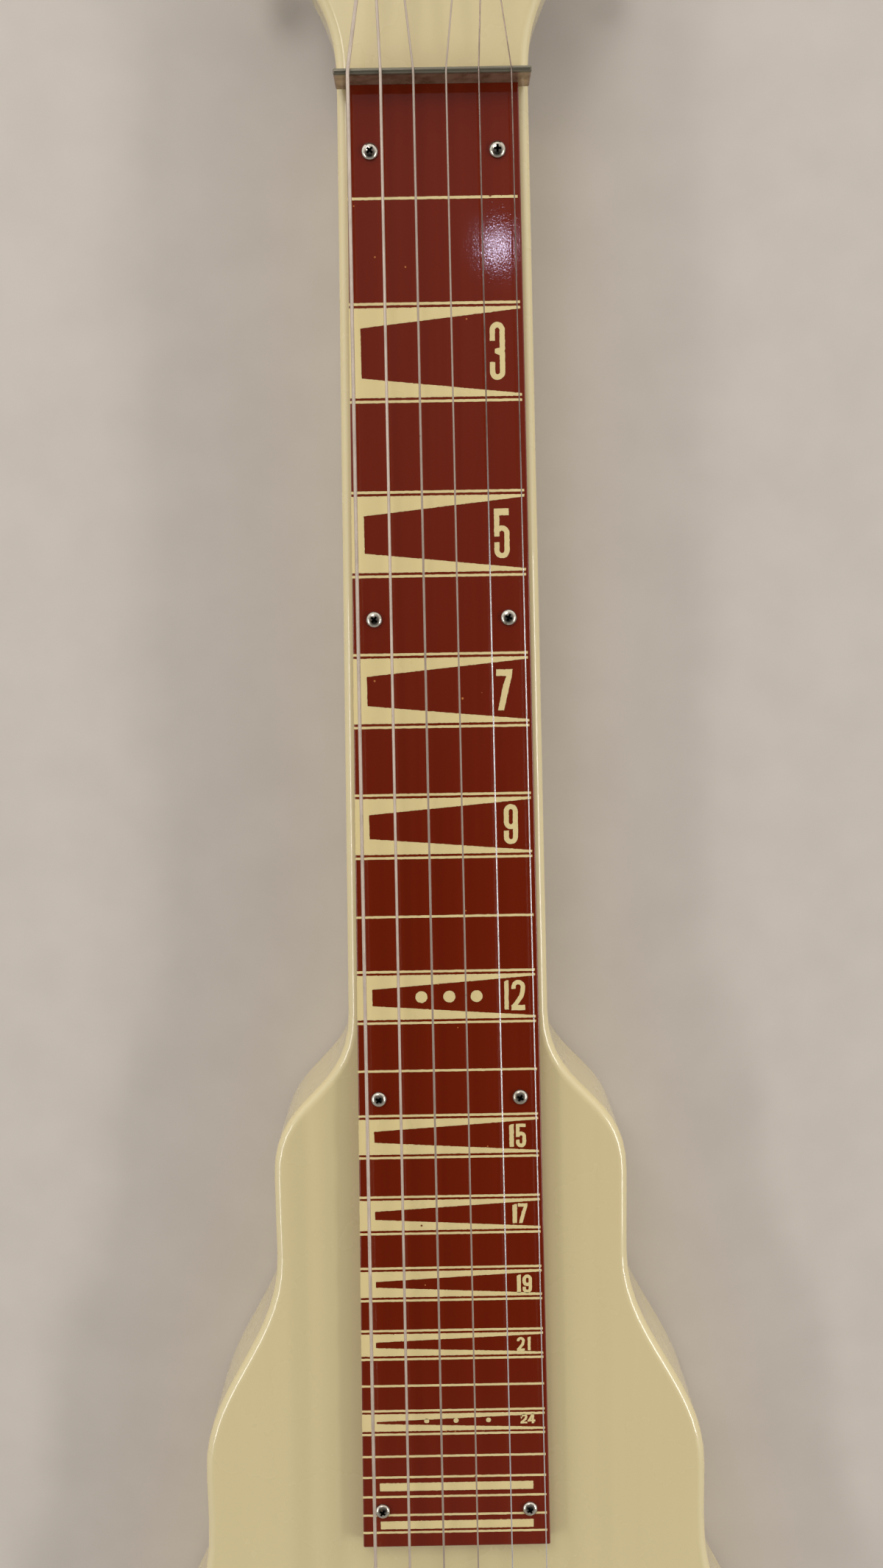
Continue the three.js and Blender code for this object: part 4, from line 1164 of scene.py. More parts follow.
def screw_head():
    """A domed head that stands on its seat at zero, with its cross and the start of its shank."""
    height, lip = 1.5 * mm, 0.35 * mm
    profile = [(0, -3 * mm), (1.2 * mm, -3 * mm), (1.2 * mm, 0), (head_radius, 0), (head_radius, lip)]
    for k in range(1, 7):
        angle = math.radians(90 * k / 6)
        profile.append((head_radius * math.cos(angle), lip + (height - lip) * math.sin(angle)))
    profile[-1] = (0, height)
    head = new_object("screw_head", turned(profile, 28))
    span, width, depth = 2.75 * mm, 0.8 * mm, 1.1 * mm
    arms = []
    for turn in (0, 90):
        rows = []
        for level, share in ((height - depth, 0.35), (height + depth, 1.45)):
            rows.append([
                Vector((x * span / 2 * share, y * width / 2 * (0.6 + share / 3), level))
                for x, y in ((-1, -1), (1, -1), (1, 1), (-1, 1))
            ])
        arms.append(moved(skinned(rows), Matrix.Rotation(math.radians(turn), 4, "Z")))
    carved(head, arms)
    recess = head.data.attributes.new("recess", "FLOAT", "FACE")
    for face, value in zip(head.data.polygons, recess.data):
        out = face.center.xy.length
        dome = lip + (height - lip) * math.sqrt(max(0, 1 - (out / head_radius) ** 2))
        value.value = float(out < 1.7 * mm and 0.2 * mm < face.center.z < dome - 0.06 * mm)
    return head


def screws_tree():
    tree, given, result = new_group("screws on points", {
        "Geometry": "Geometry",
        "Head": "Object",
        "Size": 1.0,
        "Tilt": "Rotation",
        "Seed": 0,
        "Material": "Material",
    }, {"Geometry": "Geometry"}, kind="GeometryNodeTree")
    head = place(tree, "GeometryNodeObjectInfo", {"Object": given["Head"]})
    spin = place(tree, "FunctionNodeRandomValue", {"Seed": given["Seed"]}, data_type="FLOAT")
    least, most = [socket for socket in spin.inputs if socket.type == "VALUE"][:2]
    least.default_value, most.default_value = 0.0, math.pi / 2
    value = next(socket for socket in spin.outputs if socket.type == "VALUE")
    about_z = place(tree, "ShaderNodeCombineXYZ", {"Z": value})
    local = place(tree, "FunctionNodeEulerToRotation", {"Euler": about_z})
    facing = place(tree, "FunctionNodeRotateRotation", {
        "Rotation": given["Tilt"], "Rotate By": local}, rotation_space="LOCAL")
    copies = place(tree, "GeometryNodeInstanceOnPoints", {
        "Points": given["Geometry"],
        "Instance": head.outputs["Geometry"],
        "Rotation": facing,
        "Scale": given["Size"],
    })
    return coated(tree, copies, given, result)


screw_model = screw_head()
screw_tree = screws_tree()


def screws(name, seats, radius, tilt=(0, 0, 0), seed=1, replaces=()):
    """Screws with heads of a radius on a list of seats; tilt turns them from facing up."""
    source = new_object(name, (seats, []))
    made = grown(name, screw_tree, {
        "Head": screw_model,
        "Size": radius / head_radius,
        "Tilt": tilt,
        "Seed": seed,
        "Material": screw_nickel,
    }, source=source)
    return finished(made, screw_nickel, replaces=replaces)


board_screws = [f"board_screw_{number}" for number in range(1, 9)]
screws("board_screws", [
    Vector((middle_of(name).x, middle_of(name).y, board_top)) for name in board_screws
], head_radius, seed=5, replaces=board_screws)
print("board screws:", len(board_screws))

# %% [markdown]
# The nut and the bridge are bent from metal sheet: a thick upright with a rounded top edge, and a
# foot that is screwed to the wood. Each string rests in a groove of its own width.

# %% Nut and bridge
gauges = {6: 1.17 * mm, 5: 0.91 * mm, 4: 0.71 * mm, 3: 0.56 * mm, 2: 0.43 * mm, 1: 0.36 * mm}
groove_depth = 0.3 * mm
spread_at_nut, nut_shift = 47.4 * mm, -0.8 * mm
spread_at_bridge, bridge_shift = 59 * mm, 1.7 * mm


def string_x(number, spread, shift):
    return shift + spread * ((6 - number) / 5 - 0.5)


def crossing(number, at_nut):
    """Where the middle of a string crosses the nut or the bridge."""
    if at_nut:
        x, y, top = string_x(number, spread_at_nut, nut_shift), nut_middle, nut_high.z
    else:
        x, y, top = string_x(number, spread_at_bridge, bridge_shift), bridge_y, bridge_high.z
    return Vector((x, y, top - groove_depth + gauges[number] / 2))


def bent_angle(name, low, high, wall_y, facing, at_nut):
    """An upright of even thickness on a foot that points up the neck, or down it if facing is -1."""
    half, foot_thickness, fillet, bend = wall / 2, 2 * mm, 1.2 * mm, 2.2 * mm
    top = high.z - deck
    reach = (high.y - wall_y) if facing > 0 else (wall_y - low.y)
    outline = [Vector((bend - half, 0)), Vector((reach, 0)), Vector((reach, foot_thickness))]
    outline += arc((half + fillet, foot_thickness + fillet), (fillet, fillet), 270, 180, 6)
    outline += arc((0, top - half), (half, half), 0, 180, 16)
    outline += arc((bend - half, bend), (bend, bend), 180, 270, 6)[:-1]
    edge = 0.45 * mm
    shape = slab(outline, low.x, high.x, edge, edge, steps=3)
    laid = Matrix(((0, 0, 1, 0), (facing, 0, 0, wall_y), (0, 1, 0, deck), (0, 0, 0, 1)))
    grooves = []
    for number, gauge in gauges.items():
        start = crossing(number, at_nut) - Vector((0, 4 * mm, 0))
        grooves.append(lying(start, (0, 1, 0), cylinder(gauge / 2 + 0.05 * mm, 0, 8 * mm, 20)))
    piece = carved(new_object(name, moved(shape, laid)), grooves)
    metal = stained_nickel_painted_reflection if at_nut else nickel
    return finished(piece, metal, replaces=[name.split("_")[0]])


bent_angle("nut_angle", nut_low, nut_high, nut_middle, 1, True)
bent_angle("bridge_angle", bridge_low, bridge_high, bridge_y, -1, False)
print("nut and bridge: grooves for", len(gauges), "strings each")

# %% [markdown]
# Each string starts at its ball behind the tailpiece, crosses the bridge and the nut, and winds
# down its post until it enters the hole. Bends become short curves.

# %% String routes
post_waist = 2.5 * mm
wrap_clearance = 0.12 * mm
wraps_at_least = {6: 2.1, 5: 2.6, 4: 3.1, 3: 3.6, 2: 4.1, 1: 4.6}
tail_low, tail_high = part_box("tailpiece")
tail_hole = deck + 5.5 * mm


def post_axis(number):
    return middle_of(f"post_{number}")


def hole_level(number):
    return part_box(f"post_{number}")[1].z - 7 * mm


def rounded_route(points, reach):
    """Replaces each bend with a short curve that starts and ends at a distance from it."""
    route = [points[0]]
    for before, here, after in zip(points, points[1:], points[2:]):
        start = here + (before - here).normalized() * min(reach, (before - here).length / 2)
        end = here + (after - here).normalized() * min(reach, (after - here).length / 2)
        route += cut_corner(start, here, end)
    return route + [points[-1]]


def wraps(number):
    """The turns on the post, from where the string touches it to the hole, and the hole's side."""
    axis, nut_point = post_axis(number), crossing(number, True)
    radius = post_waist + gauges[number] / 2 + 0.02 * mm
    way = 1 if number >= 4 else -1
    away = Vector((nut_point.x - axis.x, nut_point.y - axis.y))
    first = math.atan2(away.y, away.x) + way * math.acos(radius / away.length)
    least = first + way * 2 * math.pi * wraps_at_least[number]
    last = math.pi * (math.ceil(least / math.pi) if way > 0 else math.floor(least / math.pi))
    turns = abs(last - first) / (2 * math.pi)
    drop = gauges[number] + wrap_clearance
    count = round(turns * 36)
    points = []
    for k in range(count + 1):
        angle = first + (last - first) * k / count
        level = hole_level(number) + drop * turns * (1 - k / count)
        points.append(Vector((
            axis.x + radius * math.cos(angle), axis.y + radius * math.sin(angle), level)))
    return points, round(math.cos(last))


def string_route(number):
    bridge_point = crossing(number, False)
    start = Vector((bridge_point.x, tail_low.y - 0.35 * mm, tail_hole))
    leaving = Vector((bridge_point.x, tail_high.y, tail_hole))
    turns, _ = wraps(number)
    bends = rounded_route([start, leaving, bridge_point, crossing(number, True), turns[0]], 1.5 * mm)
    return bends[:-1] + turns


routes = {number: string_route(number) for number in gauges}
print("string points:", {number: len(route) for number, route in routes.items()})

# %% [markdown]
# The four thick strings are wound with fine wire. The wire's ridges are real geometry: the route is
# cut into steps of a quarter of a ridge, and each point sinks by its place along the helix.

# %% Strings


def wound_tree():
    tree, given, result = new_group("wound string", {
        "Geometry": "Geometry",
        "Radius": 0.0005,
        "Wire": 0.0004,
        "Depth": 0.0001,
        "Steps per ridge": 4,
        "Sides": 8,
        "Material": "Material",
    }, {"Geometry": "Geometry"}, kind="GeometryNodeTree")
    curve = place(tree, "GeometryNodeMeshToCurve", {"Mesh": given["Geometry"]})
    step = math_node(tree, "DIVIDE", given["Wire"], given["Steps per ridge"])
    fine = place(tree, "GeometryNodeResampleCurve", {"Curve": curve}, mode="LENGTH")
    feed(tree, next(socket for socket in fine.inputs if socket.name == "Length"), step)
    circle = place(tree, "GeometryNodeCurvePrimitiveCircle", {
        "Resolution": given["Sides"], "Radius": given["Radius"]})

    def captured(curve, measure):
        """The curve, with how far along it each point lies."""
        spline = tree.nodes.new("GeometryNodeSplineParameter")
        node = tree.nodes.new("GeometryNodeCaptureAttribute")
        node.capture_items.new("FLOAT", measure)
        feed(tree, node.inputs[0], curve)
        feed(tree, node.inputs[1], spline.outputs[measure])
        return node

    far, around = captured(fine, "Length"), captured(circle, "Factor")
    tube = place(tree, "GeometryNodeCurveToMesh", {
        "Curve": far, "Profile Curve": around, "Fill Caps": True})
    turns = math_node(tree, "DIVIDE", far.outputs[1], given["Wire"])
    phase = math_node(tree, "ADD", turns, around.outputs[1])
    wave = math_node(tree, "SINE", math_node(tree, "MULTIPLY", phase, math.pi))
    ridge = math_node(tree, "ABSOLUTE", wave)
    sunk = math_node(tree, "MULTIPLY", math_node(tree, "SUBTRACT", ridge, 1.0), given["Depth"])
    normal = place(tree, "GeometryNodeInputNormal")
    offset = place(tree, "ShaderNodeVectorMath", {0: normal, "Scale": sunk}, operation="SCALE")
    shaped = place(tree, "GeometryNodeSetPosition", {"Geometry": tube, "Offset": offset})
    return coated(tree, shaped, given, result)


def tube(route, radius, sides=12):
    """A smooth tube along points; its rings turn with the route without twisting."""
    rings = []
    side = None
    for here, _, forward in through(route):
        side = side or forward.orthogonal()
        side = (side - forward * side.dot(forward)).normalized()
        up = forward.cross(side)
        rings.append([
            here + (side * math.cos(angle) + up * math.sin(angle)) * radius
            for angle in round_angles(sides)
        ])
    return skinned(rings)


wound_wire = {6: 0.42 * mm, 5: 0.28 * mm, 4: 0.26 * mm, 3: 0.25 * mm}
wound = wound_tree()


def as_line(name, points):
    mesh = bpy.data.meshes.new(name)
    edges = [(i, i + 1) for i in range(len(points) - 1)]
    mesh.from_pydata([tuple(point) for point in points], edges, [])
    thing = bpy.data.objects.new(name, mesh)
    scene.collection.objects.link(thing)
    return thing


for number, route in routes.items():
    name = f"string_{number}_drawn"
    if number in wound_wire:
        wire = wound_wire[number]
        thing = grown(name, wound, {
            "Radius": gauges[number] / 2,
            "Wire": wire,
            "Depth": wire * (0.3 if number == 6 else 0.2),
            "Steps per ridge": 4,
            "Sides": 8 if number > 4 else 6,
            "Material": wound_steel,
        }, source=as_line(name, route))
        material = wound_steel
    else:
        thing = new_object(name, tube(route, gauges[number] / 2))
        material = steel
    finished(thing, material, replaces=[f"string_{number}"])
    print(name, len(thing.data.polygons), "faces")

# %% [markdown]
# Behind the bridge the tailpiece holds the strings' balls. It is a block with a rounded top on a
# thin foot. Each ball is a little brass spool, lying across its string, with the string's loop on it.

# %% Tailpiece and ball ends


def rounded_block(low, high, corner, round_high=0.0, round_low=0.0):
    middle, half = (Vector(low) + Vector(high)) / 2, (Vector(high) - Vector(low)) / 2
    outline = rounded_rectangle(middle, half.x, half.y, corner)
    return slab(outline, low[2], high[2], round_low, round_high)


tail_foot = 9 * mm
foot_top = deck + 2 * mm


def tailpiece():
    block = rounded_block(
        (tail_low.x + tail_foot, tail_low.y, deck), (tail_high.x - tail_foot, tail_high.y, tail_high.z),
        2.4 * mm, 1.8 * mm)
    foot = rounded_block(tail_low, (tail_high.x, tail_high.y, foot_top), 5.2 * mm, 0.5 * mm)
    piece = carved(new_object("tailpiece_block", block), [foot], operation="UNION")
    holes = []
    for number, gauge in gauges.items():
        start = (crossing(number, False).x, tail_low.y, tail_hole)
        # a narrow hole right through, and a wide mouth on the side of the bridge
        for margin, begin, end in ((0.3 * mm, -5 * mm, 20 * mm), (0.9 * mm, 10.4 * mm, 20 * mm)):
            holes.append(lying(start, (0, 1, 0), cylinder(gauge / 2 + margin, begin, end, 20)))
    return finished(carved(piece, holes), nickel, replaces=["tailpiece"])


def ball_ends():
    profile = [(0.5, -1.6), (1.5, -1.6), (1.7, -1.4), (1.7, -0.9), (1.2, -0.5), (1.2, 0.5), (1.7, 0.9),
               (1.7, 1.4), (1.5, 1.6), (0.5, 1.6)]
    spools, loops = [], []
    for number in gauges:
        place_of_ball = (crossing(number, False).x, tail_low.y - 2 * mm, tail_hole)
        spool = turned([(radius * mm, level * mm) for radius, level in profile], 24)
        ring = [
            (1.45 * mm + 0.25 * mm * math.cos(a), 0.25 * mm * math.sin(a)) for a in round_angles(10)]
        spools.append(lying(place_of_ball, (1, 0, 0), spool))
        loops.append(lying(place_of_ball, (1, 0, 0), turned(ring, 24)))
    finished(new_object("ball_ends", joined(*spools)), brass)
    finished(new_object("ball_loops", joined(*loops)), steel)


tailpiece()
ball_ends()
print("tailpiece with", len(gauges), "ball ends")

# %% [markdown]
# A tuner turns its post by a worm. The posts' lower ends and their gears sit in a strip plate under
# the headstock, and each worm shaft runs in two ears bent down from the plate.

# %% Tuner plates
plate_thickness = 1.2 * mm
ear_inner, ear_thickness, ear_half = 3.7 * mm, 1.6 * mm, 3 * mm
post_radius, running_gap = 3.1 * mm, 0.35 * mm
shaft_radius = 1.6 * mm
sides = {"bass": (4, 5, 6), "treble": (1, 2, 3)}


def upright_across(x, outline, thickness, edge):
    """A plate whose outline lies in the plane of Y and Z, and whose thickness runs along X."""
    laid = Matrix(((0, 0, 1, x), (1, 0, 0, 0), (0, 1, 0, 0), (0, 0, 0, 1)))
    return moved(slab(outline, 0, thickness, edge, edge, steps=3), laid)


def tuner_plate(side, numbers):
    low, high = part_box(f"tuner_plate_{side}")
    under = high.z - plate_thickness
    edge = 0.25 * mm
    shape = rounded_block((low.x, low.y, under), high, 6.7 * mm, edge, edge)
    ears, holes = [], []
    for number in numbers:
        shaft, axis = middle_of(f"worm_shaft_{number}"), post_axis(number)
        bowl = arc((shaft.y, low.z + ear_half), (ear_half, ear_half), 180, 360, 14)
        top = under + plate_thickness / 2
        outline = bowl + [Vector((shaft.y + ear_half, top)), Vector((shaft.y - ear_half, top))]
        for x in (axis.x - ear_inner - ear_thickness, axis.x + ear_inner):
            ears.append(upright_across(x, outline, ear_thickness, edge))
        holes.append(standing(axis, cylinder(post_radius + running_gap, 0, deck)))
        reach = 2 * ear_inner
        bore = cylinder(shaft_radius + running_gap, -reach, reach)
        holes.append(lying((axis.x, shaft.y, shaft.z), (1, 0, 0), bore))
    plate = carved(new_object(f"tuner_strip_{side}", shape), ears, operation="UNION")
    finished(carved(plate, holes), nickel, replaces=[f"tuner_plate_{side}"])
    x = (low.x + high.x) / 2
    places = [low.y + 3.6 * mm, high.y - 3.2 * mm]
    places += [(post_axis(a).y + post_axis(b).y) / 2 + 4.5 * mm for a, b in zip(numbers, numbers[1:])]
    seats = [Vector((x, y, under)) for y in places]
    screws(f"tuner_strip_{side}_screws", seats, 1.9 * mm, tilt=(math.pi, 0, 0), seed=len(side))


for side, numbers in sides.items():
    tuner_plate(side, numbers)
print("two tuner plates")

# %% [markdown]
# A post is turned from nickel-plated steel, with a waist for the wraps and a cross hole. Its brass
# gear has fourteen teeth, so the button turns fourteen times for one turn of the post.

# %% Posts and gears
gear_teeth = 14
worm_lead = 2 * mm
gear_pitch = gear_teeth * worm_lead / (2 * math.pi)
gear_root, gear_tip = gear_pitch - 0.65 * mm, gear_pitch + 0.5 * mm
gear_height = 2.4 * mm


def rounded_corner(radius, level, size, sign, steps=4):
    """Points of a profile round its outer corner, upwards for sign 1 and inwards for sign -1."""
    points = []
    for k in range(steps + 1):
        angle = math.pi / 2 * k / steps
        if sign > 0:
            out, rise = math.sin(angle), 1 - math.cos(angle)
        else:
            out, rise = math.cos(angle), math.sin(angle) - 1
        points.append((radius - size * (1 - out), level + size * rise))
    return points


def spindle(number):
    low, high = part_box(f"post_{number}")
    screw_radius, taper = 2.6 * mm, 0.6 * mm
    waist_top = high.z - 3 * mm
    waist_bottom = waist_top - 8 * mm
    gear_bottom = middle_of(f"worm_shaft_{number}").z - gear_height / 2
    profile = [(0, low.z)]
    profile += rounded_corner(screw_radius, low.z, 0.4 * mm, 1)
    profile += [(screw_radius, gear_bottom + gear_height), (post_radius, gear_bottom + gear_height)]
    profile += [(post_radius, waist_bottom - taper)]
    profile += [(post_radius - taper / 3, waist_bottom - taper / 2)]
    profile += [(post_waist, waist_bottom), (post_waist, waist_top)]
    profile += [(post_radius - taper / 3, waist_top + taper / 2), (post_radius, waist_top + taper)]
    profile += rounded_corner(post_radius, high.z, taper, -1)
    profile.append((0, high.z))
    axis = post_axis(number)
    thing = new_object(f"spindle_{number}", standing(axis, turned(profile)))
    hole_radius, slot_half, slot_depth = 0.8 * mm, 0.4 * mm, 0.6 * mm
    start = (axis.x - 5 * mm, axis.y, hole_level(number))
    cross = lying(start, (1, 0, 0), cylinder(hole_radius, 0, 10 * mm, 20))
    slot = rounded_block(
        (axis.x - 4 * mm, axis.y - slot_half, low.z - 1 * mm),
        (axis.x + 4 * mm, axis.y + slot_half, low.z + slot_depth), 0.1 * mm)
    return finished(
        carved(thing, [cross, slot]), nickel, f"spool_{number}", [f"post_{number}"])


def gear(number):
    axis, shaft = post_axis(number), middle_of(f"worm_shaft_{number}")
    outline = []
    for tooth in range(gear_teeth):
        middle = math.pi / 2 + (tooth + 0.5) * 2 * math.pi / gear_teeth
        flank = [
            (gear_root, -0.475), (gear_pitch, -0.38), (gear_tip - 0.1 * mm, -0.25), (gear_tip, -0.15)]
        for radius, offset in flank + [(far, -aside) for far, aside in reversed(flank)]:
            angle = middle + offset * mm / radius
            outline.append(Vector((
                axis.x + radius * math.cos(angle), axis.y + radius * math.sin(angle))))
    low = shaft.z - gear_height / 2
    wheel = slab(outline, low, low + gear_height, 0.12 * mm, 0.12 * mm, steps=2)
    thing = new_object(f"gear_{number}", wheel)
    bore = standing(axis, cylinder(2.62 * mm, low - 1 * mm, low + 2 * gear_height))
    finished(carved(thing, [bore]), brass, f"spool_{number}")


def string_stub(number):
    """The end of the string, from the mouth of the post's hole; it turns with the post."""
    axis, (_, side) = post_axis(number), wraps(number)
    level, radius = hole_level(number), gauges[number] / 2
    inside, reach, tip, tip_rise = 0.1 * mm, 3.2 * mm, 1 * mm, 0.5 * mm
    mouth = Vector((axis.x + side * (post_waist - inside), axis.y, level))
    points = [mouth, Vector((axis.x - side * reach, axis.y, level))]
    points.append(points[-1] + Vector((-side * tip, 0, tip_rise)))
    shape = tube(rounded_route(points, 0.6 * mm), radius)
    finished(new_object(f"string_{number}_end", shape), steel, f"spool_{number}")


for number in gauges:
    spindle(number)
    gear(number)
    string_stub(number)
print("posts with gears of", gear_teeth, "teeth")

# %% [markdown]
# The worm is a screw thread of one start. It is swept along its helix in fine steps, so that its
# flanks stay smooth, and it crosses the gear in the gap between two teeth.

# %% Worm shafts
worm_foot, worm_core, worm_outer = 1.4 * mm, 1.8 * mm, 3 * mm
worm_turns = 2.6


def worm_shaft(number):
    low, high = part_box(f"worm_shaft_{number}")
    axis, shaft = post_axis(number), middle_of(f"worm_shaft_{number}")
    spot = Vector((axis.x, shaft.y, shaft.z))
    steps = 30
    rings = []
    for k in range(round(worm_turns * steps) + 1):
        turn = (k / steps - worm_turns / 2) * 2 * math.pi
        run_out = min(1, k / 4, (worm_turns * steps - k) / 4)
        outer = worm_core + (worm_outer - worm_core) * max(0.02, run_out)
        ring = []
        for radius, offset in ((worm_foot, 0.42), (outer - 0.1 * mm, 0.2), (outer, 0.12),
                               (outer, -0.12), (outer - 0.1 * mm, -0.2), (worm_foot, -0.42)):
            ring.append(spot + Vector((
                worm_lead * turn / (2 * math.pi) + offset * mm,
                -radius * math.cos(turn),
                -radius * math.sin(turn),
            )))
        rings.append(ring)
    reach, edge = 3.35 * mm, 0.3 * mm
    start, end = low.x - axis.x, high.x - axis.x
    profile = [(0, start), (shaft_radius - edge, start), (shaft_radius, start + edge)]
    profile += [(shaft_radius, -reach), (worm_core, -reach), (worm_core, reach), (shaft_radius, reach)]
    profile += [(shaft_radius, end - edge), (shaft_radius - edge, end), (0, end)]
    core = lying(spot, (1, 0, 0), turned(profile, 28))
    thing = carved(new_object(f"worm_{number}", core), [skinned(rings)], operation="UNION")
    finished(thing, steel, f"key_{number}", [f"worm_shaft_{number}"])


for number in gauges:
    worm_shaft(number)
print("worms of lead", worm_lead / mm, "mm")

# %% [markdown]
# The buttons are flat ovals of aged plastic. The outline comes from a smooth profile that is turned
# and then flattened, and the shaft enters it through a short collar.

# %% Tuner buttons and bushings


def smooth_curve(points, steps=6):
    """A Catmull-Rom curve through points."""
    result = []
    padded = [points[0]] + list(points) + [points[-1]]
    for p0, p1, p2, p3 in zip(padded, padded[1:], padded[2:], padded[3:]):
        for k in range(steps):
            t = k / steps
            result.append(tuple(
                0.5 * (2 * b + (c - a) * t + (2 * a - 5 * b + 4 * c - d) * t * t
                       + (3 * b - a - 3 * c + d) * t ** 3)
                for a, b, c, d in zip(p0, p1, p2, p3)))
    return result + [tuple(points[-1])]


def button(number):
    low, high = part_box(f"button_{number}")
    middle, half = (low + high) / 2, (high - low) / 2
    outwards = 1 if middle.x > 0 else -1
    flat = half.z / half.y
    length = 2 * half.x
    grip = [(2.6, 2.2), (4.6, 3.0), (6.9, 5.2), (7.9, 8.2), (7.2, 11.2), (4.9, 13.2), (2.2, 13.9)]
    curve = smooth_curve([(radius * mm, level * mm) for radius, level in grip])
    profile = [(0, 1 * mm)] + curve + [(0, length)]
    squeeze = Matrix.Diagonal((1, flat, 1, 1))
    collar = turned([(0, 0), (2.7 * mm, 0), (3 * mm, 0.3 * mm), (3 * mm, 3.6 * mm), (0, 3.6 * mm)])
    start = Vector((middle.x - outwards * half.x, middle.y, middle.z))
    turn = Matrix(((0, 0, outwards, 0), (1, 0, 0, 0), (0, 1, 0, 0), (0, 0, 0, 1)))
    put = Matrix.Translation(start) @ turn
    thing = new_object(f"oval_button_{number}", moved(turned(profile, 48), put @ squeeze))
    thing = carved(thing, [moved(collar, put)], operation="UNION")
    bore = moved(cylinder(shaft_radius + 0.05 * mm, -2 * mm, 9.3 * mm), put)
    finished(carved(thing, [bore]), ivory, f"key_{number}", [f"button_{number}"])


def bushing(number):
    low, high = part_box(f"bushing_{number}")
    middle = (low + high) / 2
    bore, barrel, flange = post_radius + running_gap, 4.5 * mm, high.x - middle.x
    profile = [(bore, low.z), (barrel, low.z), (barrel, deck), (flange, deck)]
    profile += rounded_corner(flange, high.z, 0.7 * mm, -1)
    profile += [(bore + 0.3 * mm, high.z), (bore, high.z - 0.3 * mm)]
    thing = new_object(f"post_bushing_{number}", standing(middle, turned(profile)))
    finished(thing, nickel, replaces=[f"bushing_{number}"])


for number in gauges:
    button(number)
    bushing(number)
print("buttons and bushings:", len(gauges))

# %% [markdown]
# The pickup hides under a drawn metal cover with a lug at each end. Its pole bar, one steel blade
# for all strings, stands a little proud of a slot in the cover.

# %% Pickup
cover_low, cover_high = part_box("pickup_cover")
pole_low, pole_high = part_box("pole_bar")
lug, lug_thickness, cover_wall = 9 * mm, 1.4 * mm, 1.2 * mm


def pickup_cover():
    shell = rounded_block(
        (cover_low.x + lug, cover_low.y, deck), (cover_high.x - lug, cover_high.y, cover_high.z),
        4 * mm, 1.6 * mm)
    quarter = (cover_high.y - cover_low.y) / 4
    lugs = rounded_block(
        (cover_low.x, cover_low.y + quarter, deck),
        (cover_high.x, cover_high.y - quarter, deck + lug_thickness), 5.9 * mm, 0.4 * mm)
    hollow = rounded_block(
        (cover_low.x + lug + cover_wall, cover_low.y + cover_wall, deck - 2 * mm),
        (cover_high.x - lug - cover_wall, cover_high.y - cover_wall, cover_high.z - cover_wall),
        2.8 * mm, 1 * mm)
    gap = Vector((0.3 * mm, 0.3 * mm, 0))
    slot = rounded_block(pole_low - gap, pole_high + gap, 0.5 * mm)
    piece = carved(new_object("pickup_shell", shell), [lugs], operation="UNION")
    finished(carved(piece, [hollow, slot]), nickel, replaces=["pickup_cover"])
    y = (cover_low.y + cover_high.y) / 2
    seats = [Vector((x, y, deck + lug_thickness)) for x in (
        cover_low.x + lug / 2, cover_high.x - lug / 2)]
    screws("pickup_screws", seats, 2.1 * mm, seed=3)


pickup_cover()
blade = rounded_block(pole_low, pole_high, 0.4 * mm, 0.3 * mm)
finished(new_object("pole_blade", blade), steel, replaces=["pole_bar"])
dressed("pickup_coil", black)
dressed("pickup_magnet", magnet_grey)
print("pickup cover", round((cover_high.x - cover_low.x) / mm), "mm over its lugs")

# %% [markdown]
# The hand rest is one strip of sheet metal, bent to a low arch over the bridge, with five pressed
# ribs on top. Its section is drawn once and drawn out along the strings.

# %% Hand rest
rest_low, rest_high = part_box("hand_rest")
rest_wall, rest_bend, rest_foot = 1.6 * mm, 9 * mm, 11 * mm
rib_rise, rib_half, rib_pitch = 0.9 * mm, 1.2 * mm, 6.5 * mm


def hand_rest():
    middle = (rest_low.x + rest_high.x) / 2
    outer = (rest_high.x - rest_low.x) / 2 - rest_foot
    inner, top, fillet = outer - rest_wall, rest_high.z - rib_rise, 1.4 * mm
    bend = (inner - rest_bend, top - rest_wall - rest_bend)
    root = arc((outer + fillet, deck + rest_wall + fillet), (fillet, fillet), 270, 180, 5)
    foot_tip = outer + rest_foot
    above = [Vector((foot_tip, deck)), Vector((foot_tip, deck + rest_wall))] + root
    above += arc(bend, (rest_bend + rest_wall,) * 2, 0, 90, 10)
    under = [Vector((inner, deck))] + arc(bend, (rest_bend,) * 2, 0, 90, 10)

    def mirrored(points):
        return [Vector((-point.x, point.y)) for point in points]

    outline = above + mirrored(above[::-1]) + mirrored(under) + under[::-1]
    edge = 0.35 * mm
    laid = Matrix(((1, 0, 0, middle), (0, 0, -1, 0), (0, 1, 0, 0), (0, 0, 0, 1)))
    arch = moved(slab(outline, -rest_high.y, -rest_low.y, edge, edge, steps=3), laid)
    ribs = []
    reach = outer - 2 * rest_bend
    for k in range(5):
        y = (rest_low.y + rest_high.y) / 2 + (k - 2) * rib_pitch
        ribs.append(rounded_block(
            (middle - reach, y - rib_half, top - rest_wall / 2),
            (middle + reach, y + rib_half, rest_high.z), 1.15 * mm, 0.85 * mm))
    thing = carved(new_object("hand_rest_arch", arch), ribs, operation="UNION")
    finished(thing, nickel, replaces=["hand_rest"])
    seats = []
    for x in (rest_low.x + rest_foot / 2, rest_high.x - rest_foot / 2):
        for y in (rest_low.y + 8 * mm, rest_high.y - 8 * mm):
            seats.append(Vector((x, y, deck + rest_wall)))
    screws("hand_rest_screws", seats, 2.3 * mm, seed=9)


